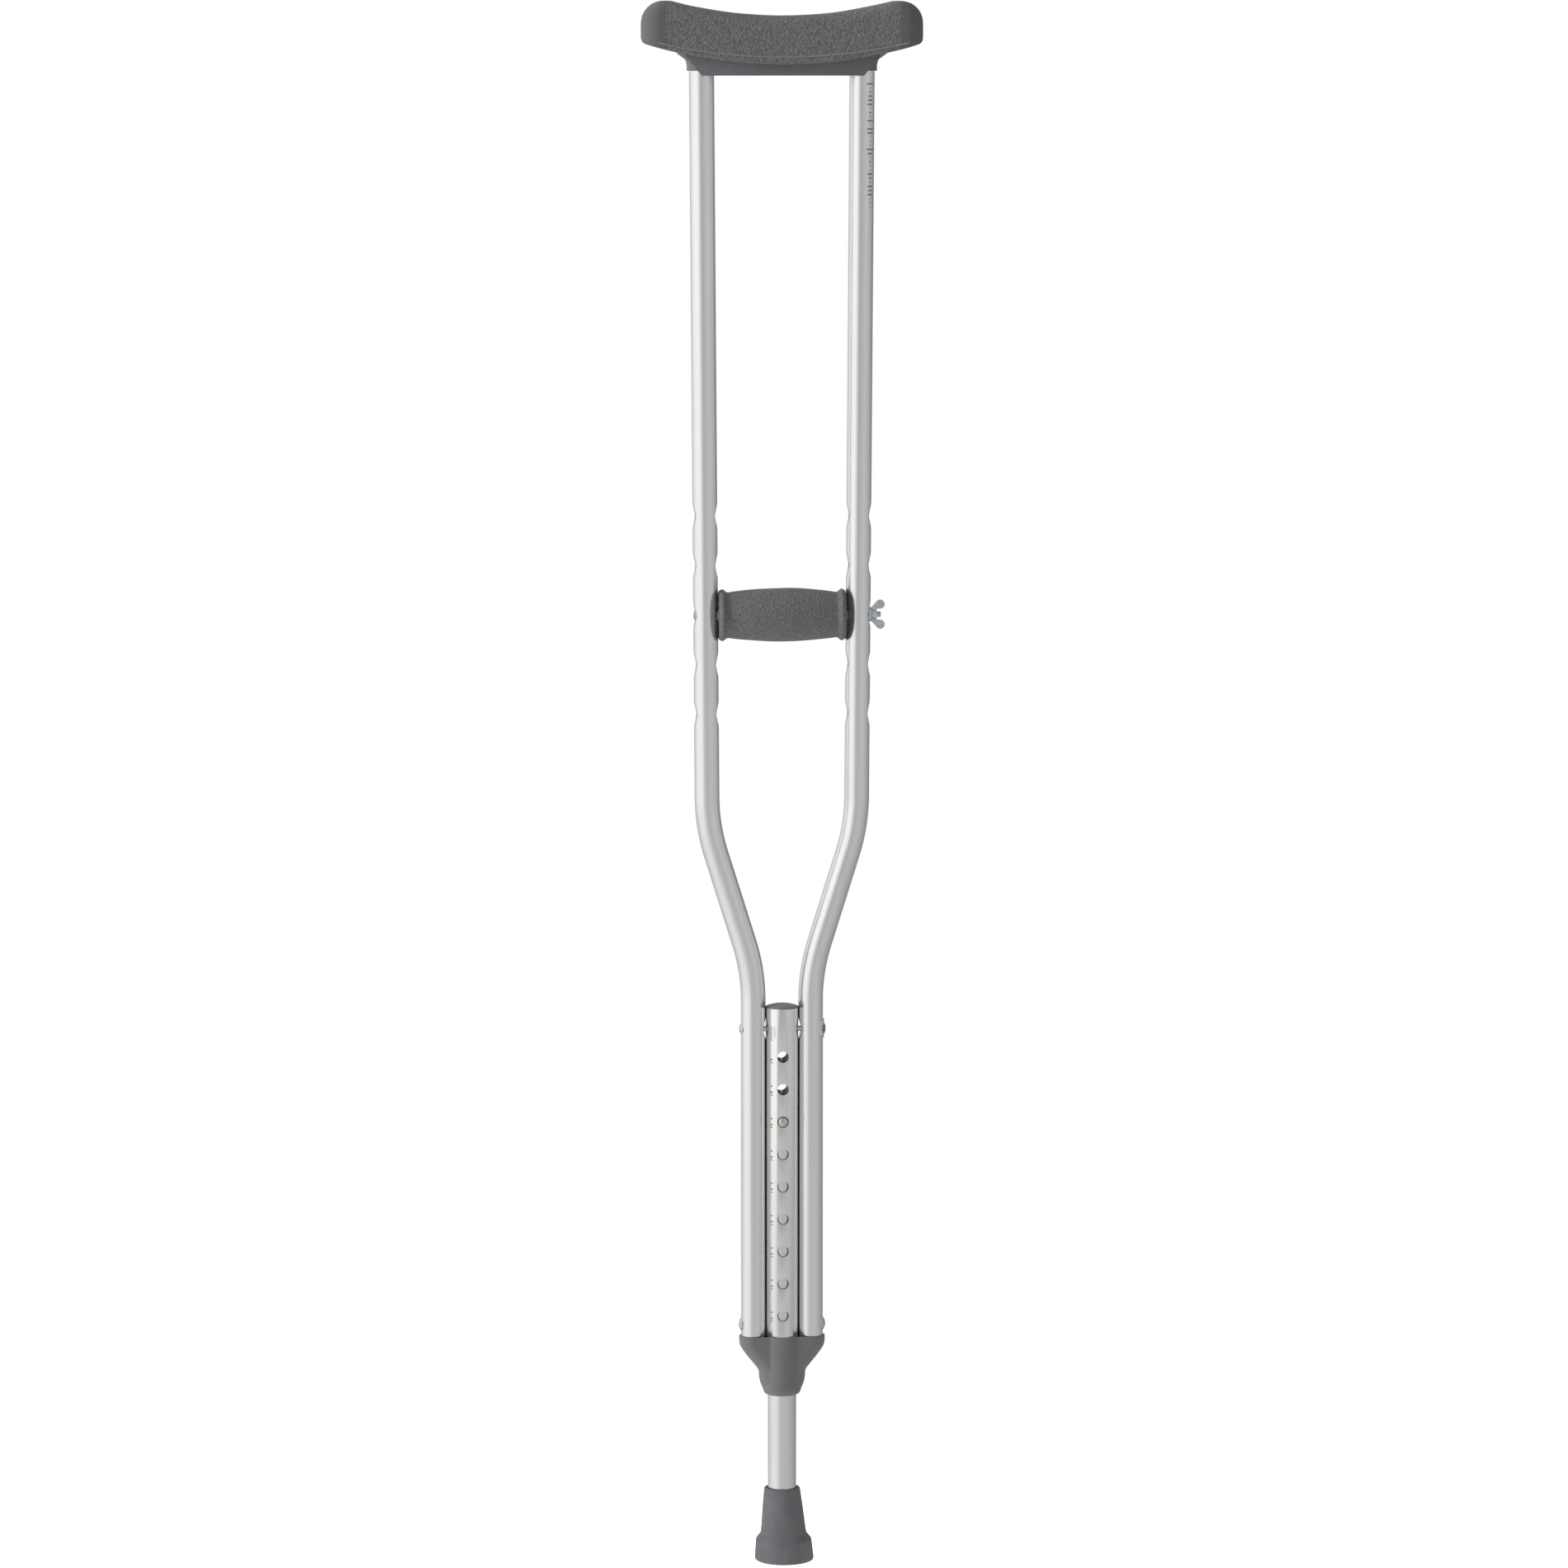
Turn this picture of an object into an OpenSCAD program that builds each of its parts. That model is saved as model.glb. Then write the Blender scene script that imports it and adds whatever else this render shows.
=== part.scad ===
// Underarm crutch, adult, with a push-button leg and a bolted hand grip.
// Millimetres. +Z is up, X runs from one upright to the other, and the user stands on the Y side.
// The origin is the centre of the rubber tip's sole.

/* [Tubes] */
// Outside diameter of the two uprights
upright_od = 19.05; // [18:0.05:19.1]
// Wall of the uprights
upright_wall = 1.3; // [1:0.1:1.6]
// Outside diameter of the centre tube
center_od = 25.4; // [25.2:0.05:25.4]
// Wall of the centre tube
center_wall = 1.25; // [1:0.05:1.25]
// Outside diameter of the leg tube
leg_od = 22.2; // [21.6:0.05:22.3]
// Wall of the leg tube
leg_wall = 1.25; // [1:0.05:1.5]

/* [Frame] */
// Height of the lower ends of the uprights
upright_bottom_z = 170; // [169.5:0.5:172]
// Height of the upper ends of the uprights
upright_top_z = 1183; // [1170:1:1183]
// Height where the lower straight would meet the slope
lower_corner_z = 464.4; // [460:0.2:470]
// Height where the slope would meet the upper straight
upper_corner_z = 577.7; // [572:0.1:582]
// Angle of the slope from vertical
slope = 17.36; // [17:0.01:17.7]
// Angle of the upper straight from vertical
splay = 0.35; // [0.2:0.01:0.5]
// Bend radius of the uprights, at the tube's middle
bend_r = 152.4; // [120:0.1:160]
// Height of the rivet that passes through all three tubes
upper_rivet_z = 419.4; // [418.8:0.1:420.5]
// Height of the two short rivets above the collar
lower_rivet_z = 187.2; // [186:0.1:190]
// Height of the centre tube's upper end, under its cap
center_top_z = 436; // [434:0.5:438]

/* [Leg length holes] */
// Distance between neighbouring holes
hole_pitch = 25.4; // [25.2:0.1:25.4]
// Holes in the centre tube
hole_count = 9; // [6:1:9]
// Height of the top hole
top_hole_z = 398.8; // [398:0.1:399]
// Diameter of the holes
hole_d = 8.8; // [8.6:0.1:9.2]
// Hole, counted down from the top, that the button sits in
used_hole = 3; // [3:1:3]

/* [Snap button] */
// Diameter of the buttons
button_d = 8.2; // [7.6:0.1:8.2]
// How far a button stands out of the centre tube
button_proud = 1.7; // [1.2:0.1:2]
// Height of the leg tube's top end above the button
leg_above_button = 15; // [12:0.5:15]
// Width of the spring strip
spring_w = 7; // [5:0.5:7]
// Thickness of the spring strip
spring_t = 0.6; // [0.4:0.1:0.7]

/* [Hand grip] */
// Height of the lowest grip hole
low_grip_hole_z = 664.3; // [660:0.1:668]
// Distance between neighbouring grip holes
grip_pitch = 38.1; // [36:0.1:39]
// Grip holes in each upright
grip_hole_count = 5; // [4:1:5]
// Grip hole, counted up from the lowest, that the bolt is in
used_grip_hole = 3; // [3:1:3]
// Depth of the pressed seat around each grip hole
dimple_depth = 1.9; // [1.2:0.1:2]
// Largest diameter of the foam
grip_d = 41.4; // [38:0.1:42]
// Diameter of the foam at its two waists
grip_waist_d = 34.8; // [32:0.1:36]
// Diameter of the foam's end flanges
grip_flange_d = 40; // [37:0.1:41]
// Length of the foam
grip_len = 97.4; // [95:0.1:97.6]
// Outside diameter of the rigid core
core_d = 15.5; // [14:0.1:15.8]

/* [Fasteners] */
// Thread diameter of the grip bolt, number 8
bolt_d = 4.17; // [4:0.01:4.2]
// Diameter of the wing nut's base and of its washer
nut_base_d = 11.2; // [10:0.1:11.2]
// Width across the two wings
wing_span = 22.4; // [21:0.1:24]
// Diameter of the rivet heads
rivet_head_d = 10.4; // [9:0.1:10.6]

/* [Underarm pad] */
// Half of the pad's length
pad_half = 106.7; // [100:0.1:108]
// Depth of the pad, front to back
pad_depth = 48; // [44:0.5:52]
// Height of the pad's lower edge at the middle
pad_bottom_z = 1160; // [1160:0.5:1161]
// Height of the pad's top at the middle
pad_top_z = 1197; // [1196:0.5:1198]
// Height of the pad's two raised ends
pad_end_z = 1208; // [1207:0.5:1209]
// Radius of the curve that the underarm rests in
pad_curve_r = 330; // [328:1:345]

/* [Saddle] */
// Height of the web's lower edge
web_bottom_z = 1151.6; // [1150:0.1:1153]
// Height of the sockets' lower edge
socket_bottom_z = 1155.3; // [1154:0.1:1156]
// Wall around the upright's end
socket_wall = 1.75; // [1.5:0.05:2.2]
// Depth of the web, front to back
web_depth = 26; // [24:0.5:30]
// Wall of the web
web_wall = 2.4; // [2:0.1:3]

/* [Collar] */
// Height of the collar's lower end
collar_bottom_z = 132; // [131:0.5:133]
// Height of the collar's upper rim
collar_top_z = 178.5; // [178:0.5:180]
// Radius of the round front of the centre lobe
lobe_r = 15; // [14.6:0.1:15.6]

/* [Tip] */
// Diameter of the tip's base
tip_d = 46.4; // [42:0.1:48]
// Height of the tip's rim
tip_h = 57.6; // [54:0.1:60]
// Height of the steel washer's underside
tip_floor_z = 12.5; // [11:0.5:13]

/* [Hidden] */
$fn = 64;
FACET_FN = 32;
FINE_FN = 360;
SLIP = 0.05;
FAR = 60;

ALUMINIUM = [0.78, 0.78, 0.78];
STEEL = [0.62, 0.63, 0.64];
ZINC = [0.62, 0.66, 0.68];
PAD_GREY = [0.38, 0.38, 0.38];
SADDLE_GREY = [0.35, 0.36, 0.38];
COLLAR_GREY = [0.43, 0.44, 0.44];
TIP_GREY = [0.4, 0.4, 0.42];

upright_r = upright_od / 2;
center_r = center_od / 2;
center_bore_r = center_r - center_wall;
leg_r = leg_od / 2;
leg_bore_r = leg_r - leg_wall;
bolt_r = bolt_d / 2;
bolt_hole_r = bolt_r + 0.12;

// The upright's middle line: lower straight, bend, slope, bend, upper straight
low_x = center_r + upright_r;
corner_rise = upper_corner_z - lower_corner_z;
corner_x = low_x + corner_rise * tan(slope);
lower_tangent = bend_r * tan(slope / 2);
upper_tangent = bend_r * tan((slope - splay) / 2);
lower_bend_z = lower_corner_z - lower_tangent;
slope_end_x = corner_x - upper_tangent * sin(slope);
slope_end_z = upper_corner_z - upper_tangent * cos(slope);
straight_x = corner_x + upper_tangent * sin(splay);
straight_z = upper_corner_z + upper_tangent * cos(splay);
function upright_x(z) = straight_x + (z - straight_z) * tan(splay);

slope_start_x = low_x + bend_r * (1 - cos(slope));
slope_start_z = lower_bend_z + bend_r * sin(slope);
slope_len = (slope_end_z - slope_start_z) / cos(slope);

// The bends are thinner by bend_step and start inside the straights, which overlap them by bend_lap
bend_step = 0.03;
bend_lap = 0.5;

// Pressed seats around the holes
dimple_flat = 5.7;
dimple_slope = 45;
frame_inner_dimple = 1.9;
frame_outer_dimple = 0.9;

button_z = top_hole_z - (used_hole - 1) * hole_pitch;
leg_top_z = button_z + leg_above_button;
grip_z = low_grip_hole_z + (used_grip_hole - 1) * grip_pitch;
grip_x = upright_x(grip_z);
grip_seat_in = grip_x - upright_r + dimple_depth;
grip_seat_out = grip_x + upright_r - dimple_depth;

washer_t = 1;
washer_play = 0.25;
nut_base_t = 1.2;
nut_hub_d = 7.4;
nut_hub_h = 5.5;
wing_reach = 11.8;
wing_lobe_r = 3.45;
wing_t = 1.7;
bolt_tail = 3.2;
bolt_head_d = 9.6;
bolt_head_h = 1.9;
rivet_r = 2;
rivet_head_h = 1.9;
rivet_washer_t = 0.9;

collar_floor_t = 6;
leg_play = 0.15;
spigot_r = upright_r - upright_wall - 0.1;
spigot_top_z = lower_rivet_z + 10;

pad_axis_z = pad_top_z + pad_curve_r;
plate_t = 3.5;
plate_inset = 1.5;
plate_half = 84;
plate_depth = 38;
plate_out_r = pad_axis_z - pad_bottom_z - plate_inset;
socket_r = upright_r + SLIP + socket_wall;
socket_cap_t = 2.5;

// ---------- shared shapes ----------

// Turns a shape that stands along +Z so that it points along +X
module along_x() {
    rotate([0, 90, 0]) children();
}

// Turns a shape that stands along +Z so that it points along -Y
module along_front() {
    rotate([90, 0, 0]) children();
}

// Extrudes an outline drawn as (x, z) by a depth centred on Y = 0
module front_extrude(depth) {
    translate([0, depth / 2, 0]) rotate([90, 0, 0]) linear_extrude(height = depth) children();
}

// A shallow spherical cap of radius r and height h, standing on Z = 0
module dome(r, h) {
    ball_r = (r * r + h * h) / (2 * h);
    rotate_extrude() intersection() {
        square([r, h]);
        translate([0, h - ball_r]) circle(r = ball_r, $fn = FINE_FN);
    }
}

module ring(outer_r, inner_r, h) {
    difference() {
        cylinder(r = outer_r, h = h);
        translate([0, 0, -1]) cylinder(r = inner_r, h = h + 2);
    }
}

// ---------- uprights ----------

// Part of a ring of middle radius bend_r around a Y axis at (x, z).
// The angles are counted from +X towards +Z.
module bend(x, z, start_angle, turn, r) {
    translate([x, 0, z]) rotate([90, 0, 0]) rotate([0, 0, start_angle])
        rotate_extrude(angle = turn) translate([bend_r, 0]) circle(r = r - bend_step);
}

// Solid rod of radius r that follows the right upright's middle line
module upright_rod(r) {
    lower_len = lower_bend_z + bend_lap - upright_bottom_z;
    upper_len = (upright_top_z - straight_z) / cos(splay) + bend_lap;
    translate([low_x, 0, upright_bottom_z]) cylinder(r = r, h = lower_len);
    bend(low_x + bend_r, lower_bend_z, 180 - slope, slope, r);
    translate([slope_start_x, 0, slope_start_z]) rotate([0, slope, 0])
        translate([0, 0, -bend_lap]) cylinder(r = r, h = slope_len + 2 * bend_lap);
    bend(slope_end_x - bend_r * cos(slope), slope_end_z + bend_r * sin(slope), -slope, slope - splay, r);
    translate([straight_x, 0, straight_z]) rotate([0, splay, 0])
        translate([0, 0, -bend_lap]) cylinder(r = r, h = upper_len);
}

// Cutter for one pressed seat: side is 1 for the tube's outer side, -1 for its inner side.
// skin moves the cut into the bore, so that the wall keeps its thickness.
module dimple_cutter(x, z, side, depth, skin) {
    flat_half = dimple_flat + skin * tan(dimple_slope / 2);
    reach = depth + skin + 1;
    low = upright_r - depth - skin;
    rise = reach / tan(dimple_slope);
    translate([x, 0, z]) front_extrude(FAR) polygon([
        [side * low, -flat_half], [side * (low + reach), -flat_half - rise],
        [side * (low + reach), flat_half + rise], [side * low, flat_half]
    ]);
}

module dimple_cutters(skin) {
    for (i = [0 : grip_hole_count - 1], side = [-1, 1]) {
        z = low_grip_hole_z + i * grip_pitch;
        dimple_cutter(upright_x(z), z, side, dimple_depth, skin);
    }
    dimple_cutter(low_x, upper_rivet_z, -1, frame_inner_dimple, skin);
    dimple_cutter(low_x, upper_rivet_z, 1, frame_outer_dimple, skin);
}

module dimpled_rod(r, skin) {
    difference() {
        upright_rod(r);
        dimple_cutters(skin);
    }
}

module upright() {
    color(ALUMINIUM) difference() {
        dimpled_rod(upright_r, 0);
        dimpled_rod(upright_r - upright_wall, upright_wall);
        for (i = [0 : grip_hole_count - 1]) {
            z = low_grip_hole_z + i * grip_pitch;
            translate([upright_x(z), 0, z])
                along_x() cylinder(r = bolt_hole_r, h = 2 * upright_od, center = true);
        }
        translate([low_x, 0, upper_rivet_z])
            along_x() cylinder(r = bolt_hole_r, h = 2 * upright_od, center = true);
        translate([low_x, 0, lower_rivet_z]) along_x() cylinder(r = rivet_r + SLIP, h = upright_od);
    }
}

module right_upright() {
    upright();
}

module left_upright() {
    mirror([1, 0, 0]) upright();
}

// ---------- centre tube and its cap ----------

module center_tube() {
    bottom_z = collar_bottom_z + collar_floor_t;
    length = center_top_z - bottom_z;
    color(ALUMINIUM) difference() {
        translate([0, 0, bottom_z]) cylinder(r = center_r, h = length);
        translate([0, 0, bottom_z - 1]) cylinder(r = center_bore_r, h = length + 2);
        for (i = [0 : hole_count - 1])
            translate([0, 0, top_hole_z - i * hole_pitch])
                along_front() cylinder(d = hole_d, h = FAR, center = true);
        translate([0, 0, upper_rivet_z]) along_x() cylinder(r = bolt_hole_r, h = FAR, center = true);
    }
}

module center_tube_cap() {
    plug_len = 9;
    plug_wall = 2;
    rim_t = 0.8;
    dome_h = 1.4;
    color(PAD_GREY) translate([0, 0, center_top_z]) {
        cylinder(r = center_r, h = rim_t);
        translate([0, 0, rim_t]) dome(center_r, dome_h);
        translate([0, 0, -plug_len]) ring(center_bore_r - SLIP, center_bore_r - plug_wall, plug_len);
    }
}

// ---------- frame rivets ----------

module upper_frame_rivet() {
    head_x = low_x + upright_r - frame_outer_dimple;
    tail_x = low_x + upright_r + rivet_washer_t;
    head_h = 2.4;
    clinch_r = 4.4;
    clinch_h = 1.3;
    color(STEEL) translate([0, 0, upper_rivet_z]) {
        translate([-head_x, 0, 0]) along_x() cylinder(r = rivet_r, h = head_x + tail_x);
        translate([-head_x, 0, 0]) along_x() mirror([0, 0, 1]) dome(bolt_head_d / 2, head_h);
        translate([tail_x, 0, 0]) along_x() dome(clinch_r, clinch_h);
    }
}

// Washer bent to the upright, under the rivet's clinched end
module upper_rivet_washer() {
    washer_r = 7.4;
    color(STEEL) translate([low_x, 0, upper_rivet_z]) difference() {
        intersection() {
            cylinder(r = upright_r + rivet_washer_t, h = FAR, center = true);
            along_x() cylinder(r = washer_r, h = upright_od);
        }
        cylinder(r = upright_r, h = FAR, center = true);
        along_x() cylinder(r = rivet_r + SLIP, h = upright_od);
    }
}

// Short rivet through the upright's outer wall into the collar's spigot
module lower_rivet(side) {
    shank_len = 9;
    skirt_h = 1.5;
    color(STEEL) translate([0, 0, lower_rivet_z]) rotate([0, 0, side > 0 ? 0 : 180])
        translate([low_x + upright_r, 0, 0]) along_x() {
            translate([0, 0, -shank_len]) cylinder(r = rivet_r, h = shank_len);
            dome(rivet_head_d / 2, rivet_head_h);
            difference() {
                translate([0, 0, -skirt_h]) cylinder(r = rivet_head_d / 2, h = skirt_h);
                translate([0, 0, -upright_r]) along_x() cylinder(r = upright_r, h = FAR, center = true);
            }
        }
}

module lower_left_rivet() {
    lower_rivet(-1);
}

module lower_right_rivet() {
    lower_rivet(1);
}

// ---------- lower collar ----------

// Half width of the collar at each height, from its rim down
collar_sides = [
    [33.4, collar_top_z], [33.2, collar_top_z - 6], [31.4, collar_top_z - 11],
    [18.6, collar_bottom_z + 19], [17.9, collar_bottom_z + 13], [16.2, collar_bottom_z + 7],
    [12.4, collar_bottom_z]
];
collar_wing_r = 11.3;
lobe_taper_h = 5;
lobe_foot_r = 12.2;

// Thin slice with round ends, as wide as one entry of collar_sides
module collar_slice(side) {
    least_x = 0.5;
    slice_t = 0.02;
    for (end = [-1, 1])
        translate([end * max(side[0] - collar_wing_r, least_x), 0, side[1]])
            cylinder(r = min(collar_wing_r, side[0] - least_x), h = slice_t, $fn = FACET_FN);
}

module collar_body() {
    for (i = [0 : len(collar_sides) - 2])
        hull() {
            collar_slice(collar_sides[i]);
            collar_slice(collar_sides[i + 1]);
        }
    translate([0, 0, collar_bottom_z + lobe_taper_h])
        cylinder(r = lobe_r, h = collar_top_z - collar_bottom_z - lobe_taper_h);
    translate([0, 0, collar_bottom_z]) cylinder(r1 = lobe_foot_r, r2 = lobe_r, h = lobe_taper_h);
}

module lower_collar() {
    color(COLLAR_GREY) {
        difference() {
            collar_body();
            translate([0, 0, collar_bottom_z + collar_floor_t]) cylinder(r = center_r + SLIP, h = FAR);
            translate([0, 0, collar_bottom_z - 1]) cylinder(r = leg_r + leg_play, h = FAR);
            for (side = [-1, 1])
                translate([side * low_x, 0, upright_bottom_z]) cylinder(r = upright_r + SLIP, h = FAR);
        }
        for (side = [-1, 1])
            difference() {
                translate([side * low_x, 0, upright_bottom_z - 1])
                    cylinder(r = spigot_r, h = spigot_top_z - upright_bottom_z + 1);
                translate([side * low_x, 0, lower_rivet_z]) rotate([0, 0, side > 0 ? 0 : 180])
                    along_x() cylinder(r = rivet_r + SLIP, h = upright_od);
            }
    }
}

// ---------- underarm saddle and pad ----------

// Bent plate under the pad
module saddle_plate(margin) {
    sweep = 2 * asin(plate_half / plate_out_r);
    translate([0, 0, pad_axis_z]) rotate([90, 0, 0]) rotate([0, 0, -90 - sweep / 2])
        rotate_extrude(angle = sweep)
            translate([plate_out_r - plate_t - margin, -plate_depth / 2 - margin])
                square([plate_t + 2 * margin, plate_depth + 2 * margin]);
}

// Front outline of the web, widened by margin: its slanting ends cross the tops of the uprights
web_half = 61.6;
web_wing_half = 74;
web_wing_rise = 14.5;
web_root_half = 66;
web_root_rise = 20;
web_mid_rise = 12;
module web_outline(margin) {
    wing_half = web_wing_half + 1.5 * margin;
    polygon([
        [-web_half - margin, web_bottom_z], [web_half + margin, web_bottom_z],
        [wing_half, web_bottom_z + web_wing_rise], [web_root_half, web_bottom_z + web_root_rise],
        [0, web_bottom_z + web_mid_rise],
        [-web_root_half, web_bottom_z + web_root_rise], [-wing_half, web_bottom_z + web_wing_rise]
    ]);
}

module saddle_sockets(r, bottom_z, top_z) {
    for (side = [-1, 1])
        translate([side * upright_x(bottom_z), 0, bottom_z])
            rotate([0, side * splay, 0]) cylinder(r = r, h = top_z - bottom_z);
}

// Everything of the saddle without its hollows: the pad is moulded around this
module saddle_block(margin) {
    saddle_plate(margin);
    front_extrude(web_depth + 2 * margin) web_outline(margin);
    saddle_sockets(socket_r + margin, socket_bottom_z, upright_top_z + socket_cap_t + margin);
}

module underarm_saddle() {
    hollow_depth = web_depth - 2 * web_wall;
    hollow_half = 47;
    hollow_rise = 10.5;
    hollow_mid_rise = 8;
    rib_pitch = 30;
    color(SADDLE_GREY) difference() {
        saddle_block(0);
        difference() {
            front_extrude(hollow_depth) polygon([
                [-hollow_half, web_bottom_z - 1], [hollow_half, web_bottom_z - 1],
                [hollow_half, web_bottom_z + hollow_rise], [0, web_bottom_z + hollow_mid_rise],
                [-hollow_half, web_bottom_z + hollow_rise]
            ]);
            for (i = [-1 : 1])
                translate([i * rib_pitch - web_wall / 2, -web_depth / 2, web_bottom_z])
                    cube([web_wall, web_depth, web_root_rise]);
        }
        saddle_sockets(upright_r + SLIP, web_bottom_z - 1, upright_top_z + 0.1);
    }
}

// Cross-section of the pad, in distance from the curve's axis and Y: round on top, flat below
module pad_section() {
    edge_r = 12;
    thickness = pad_top_z - pad_bottom_z;
    half = pad_depth / 2;
    translate([pad_curve_r + edge_r, -half]) square([thickness - edge_r, pad_depth]);
    translate([pad_curve_r, -half + edge_r]) square([thickness, pad_depth - 2 * edge_r]);
    for (side = [-1, 1])
        translate([pad_curve_r + edge_r, side * (half - edge_r)]) circle(r = edge_r);
}

// Front outline that rounds the pad's two ends
module pad_outline() {
    end_r = 17;
    low_z = pad_bottom_z - 10;
    translate([end_r - pad_half, low_z]) square([2 * (pad_half - end_r), pad_end_z - low_z]);
    translate([-pad_half, low_z]) square([2 * pad_half, pad_end_z - end_r - low_z]);
    for (side = [-1, 1])
        translate([side * (pad_half - end_r), pad_end_z - end_r]) circle(r = end_r);
}

module underarm_pad() {
    sweep = 40;
    color(PAD_GREY) difference() {
        intersection() {
            translate([0, 0, pad_axis_z]) rotate([90, 0, 0]) rotate([0, 0, -90 - sweep / 2])
                rotate_extrude(angle = sweep) pad_section();
            front_extrude(pad_depth + 2) pad_outline();
        }
        saddle_block(SLIP);
    }
}

// ---------- hand grip ----------

// Radius of the foam's barrel at a distance x from its middle
waist_inset = 7;
flange_inset = 3;
flange_chamfer = 1.6;
barrel_half = grip_len / 2 - waist_inset;
barrel_drop = (grip_d - grip_waist_d) / 2;
barrel_arc_r = (barrel_half * barrel_half + barrel_drop * barrel_drop) / (2 * barrel_drop);
function barrel_r(x) = grip_d / 2 - barrel_arc_r + sqrt(barrel_arc_r * barrel_arc_r - x * x);

module hand_grip() {
    half = grip_len / 2;
    steps = 12;
    color(PAD_GREY) translate([0, 0, grip_z]) along_x() rotate_extrude() polygon(concat(
        [
            [core_d / 2 + SLIP, -half], [grip_flange_d / 2 - flange_chamfer, -half],
            [grip_flange_d / 2, flange_inset - half]
        ],
        [for (i = [-steps : steps]) [barrel_r(barrel_half * i / steps), barrel_half * i / steps]],
        [
            [grip_flange_d / 2, half - flange_inset], [grip_flange_d / 2 - flange_chamfer, half],
            [core_d / 2 + SLIP, half]
        ]
    ));
}

// Rigid sleeve inside the foam, with notched ends that sit in the uprights' inner dimples
module grip_core() {
    half = grip_seat_in - SLIP;
    chamfer = core_d / 2 - dimple_flat + 0.1;
    bore_r = 2.8;
    notch_r = 5.6;
    notch_w = 2.4;
    notch_depth = 1.5;
    color(SADDLE_GREY) translate([0, 0, grip_z]) along_x() difference() {
        rotate_extrude() polygon([
            [bore_r, -half], [core_d / 2 - chamfer, -half], [core_d / 2, -half + chamfer],
            [core_d / 2, half - chamfer], [core_d / 2 - chamfer, half], [bore_r, half]
        ]);
        for (end = [-1, 1], turn = [0 : 3])
            translate([0, 0, end * half]) rotate([0, 0, 45 + 90 * turn])
                translate([notch_r, 0, 0]) cube([6, notch_w, 2 * notch_depth], center = true);
    }
}

module grip_bolt() {
    tail_x = grip_seat_out + washer_t + nut_hub_h + bolt_tail;
    color(STEEL) translate([-grip_seat_out, 0, grip_z]) {
        along_x() cylinder(r = bolt_r, h = grip_seat_out + tail_x);
        along_x() mirror([0, 0, 1]) dome(bolt_head_d / 2, bolt_head_h);
    }
}

module grip_washer() {
    color(ZINC) translate([grip_seat_out + SLIP, 0, grip_z])
        along_x() ring(nut_base_d / 2, bolt_r + washer_play, washer_t - SLIP);
}

module wing_nut() {
    hub_r = nut_hub_d / 2;
    flare_h = 1;
    thread_play = 0.06;
    lobe_z = wing_span / 2 - wing_lobe_r;
    lobe_x = wing_reach - wing_lobe_r;
    color(ZINC) translate([grip_seat_out + washer_t + SLIP, 0, grip_z]) difference() {
        union() {
            along_x() cylinder(r = nut_base_d / 2, h = nut_base_t);
            translate([nut_base_t, 0, 0]) along_x() cylinder(r1 = nut_base_d / 2, r2 = hub_r, h = flare_h);
            along_x() cylinder(r = hub_r, h = nut_hub_h);
            for (side = [0, 1])
                mirror([0, 0, side]) front_extrude(wing_t) {
                    translate([lobe_x, lobe_z]) circle(r = wing_lobe_r);
                    polygon([
                        [nut_base_t, hub_r - 1], [nut_hub_h, hub_r - 1], [nut_hub_h, hub_r + 0.4],
                        [lobe_x + 0.6, lobe_z - wing_lobe_r + 0.05], [lobe_x - 2.6, lobe_z + 2.25],
                        [nut_base_t, hub_r + 1.2]
                    ]);
                }
        }
        translate([-1, 0, 0]) along_x() cylinder(r = bolt_r + thread_play, h = wing_reach + 2);
    }
}

// ---------- leg ----------

tip_washer_t = 1.5;
button_play = 0.3;
module leg_tube() {
    bottom_z = tip_floor_z + tip_washer_t;
    color(ALUMINIUM) difference() {
        translate([0, 0, bottom_z]) cylinder(r = leg_r, h = leg_top_z - bottom_z);
        translate([0, 0, bottom_z - 1]) cylinder(r = leg_bore_r, h = leg_top_z - bottom_z + 2);
        translate([0, 0, button_z]) along_front() cylinder(d = button_d + button_play, h = FAR, center = true);
    }
}

// Spring clip: two arms from a round bend, each with an upright tab behind its button.
// Outline of the clip as (y, z), with the strip's middle moved outwards by grow
spring_face_y = 8.7;
module spring_outline(grow, top_z) {
    bend_r_mid = 3;
    bend_z = button_z - 45;
    tab_low_z = button_z - 6;
    face_y = spring_face_y - spring_t / 2 + grow;
    turn_step = 15;
    polygon(concat(
        [[face_y, top_z], [face_y, tab_low_z]],
        [for (a = [0 : turn_step : 180])
            [(bend_r_mid + grow) * cos(a), bend_z - (bend_r_mid + grow) * sin(a)]],
        [[-face_y, tab_low_z], [-face_y, top_z]]
    ));
}

module snap_spring() {
    top_z = button_z + 6;
    color(STEEL) translate([-spring_w / 2, 0, 0]) rotate([90, 0, 90])
        linear_extrude(height = spring_w) difference() {
            spring_outline(spring_t / 2, top_z);
            spring_outline(-spring_t / 2, top_z + 1);
        }
}

// Button that points to the front: a stud with a domed end
module button() {
    root = spring_face_y + SLIP;
    tip = center_r + button_proud;
    dome_h = 1.6;
    color(STEEL) translate([0, 0, button_z]) along_front() {
        translate([0, 0, root]) cylinder(d = button_d, h = tip - dome_h - root);
        translate([0, 0, tip - dome_h]) dome(button_d / 2, dome_h);
    }
}

module front_button() {
    button();
}

module rear_button() {
    mirror([0, 1, 0]) button();
}

// Outer side of the tip as [inset from the base's radius, depth below the rim], from the foot up
tip_side = [
    [0, 41.6], [0.8, 39.8], [5.4, 35.4], [6, 31], [6.4, 22], [7.9, 10], [8.6, 1], [9.4, 0]
];

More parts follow.
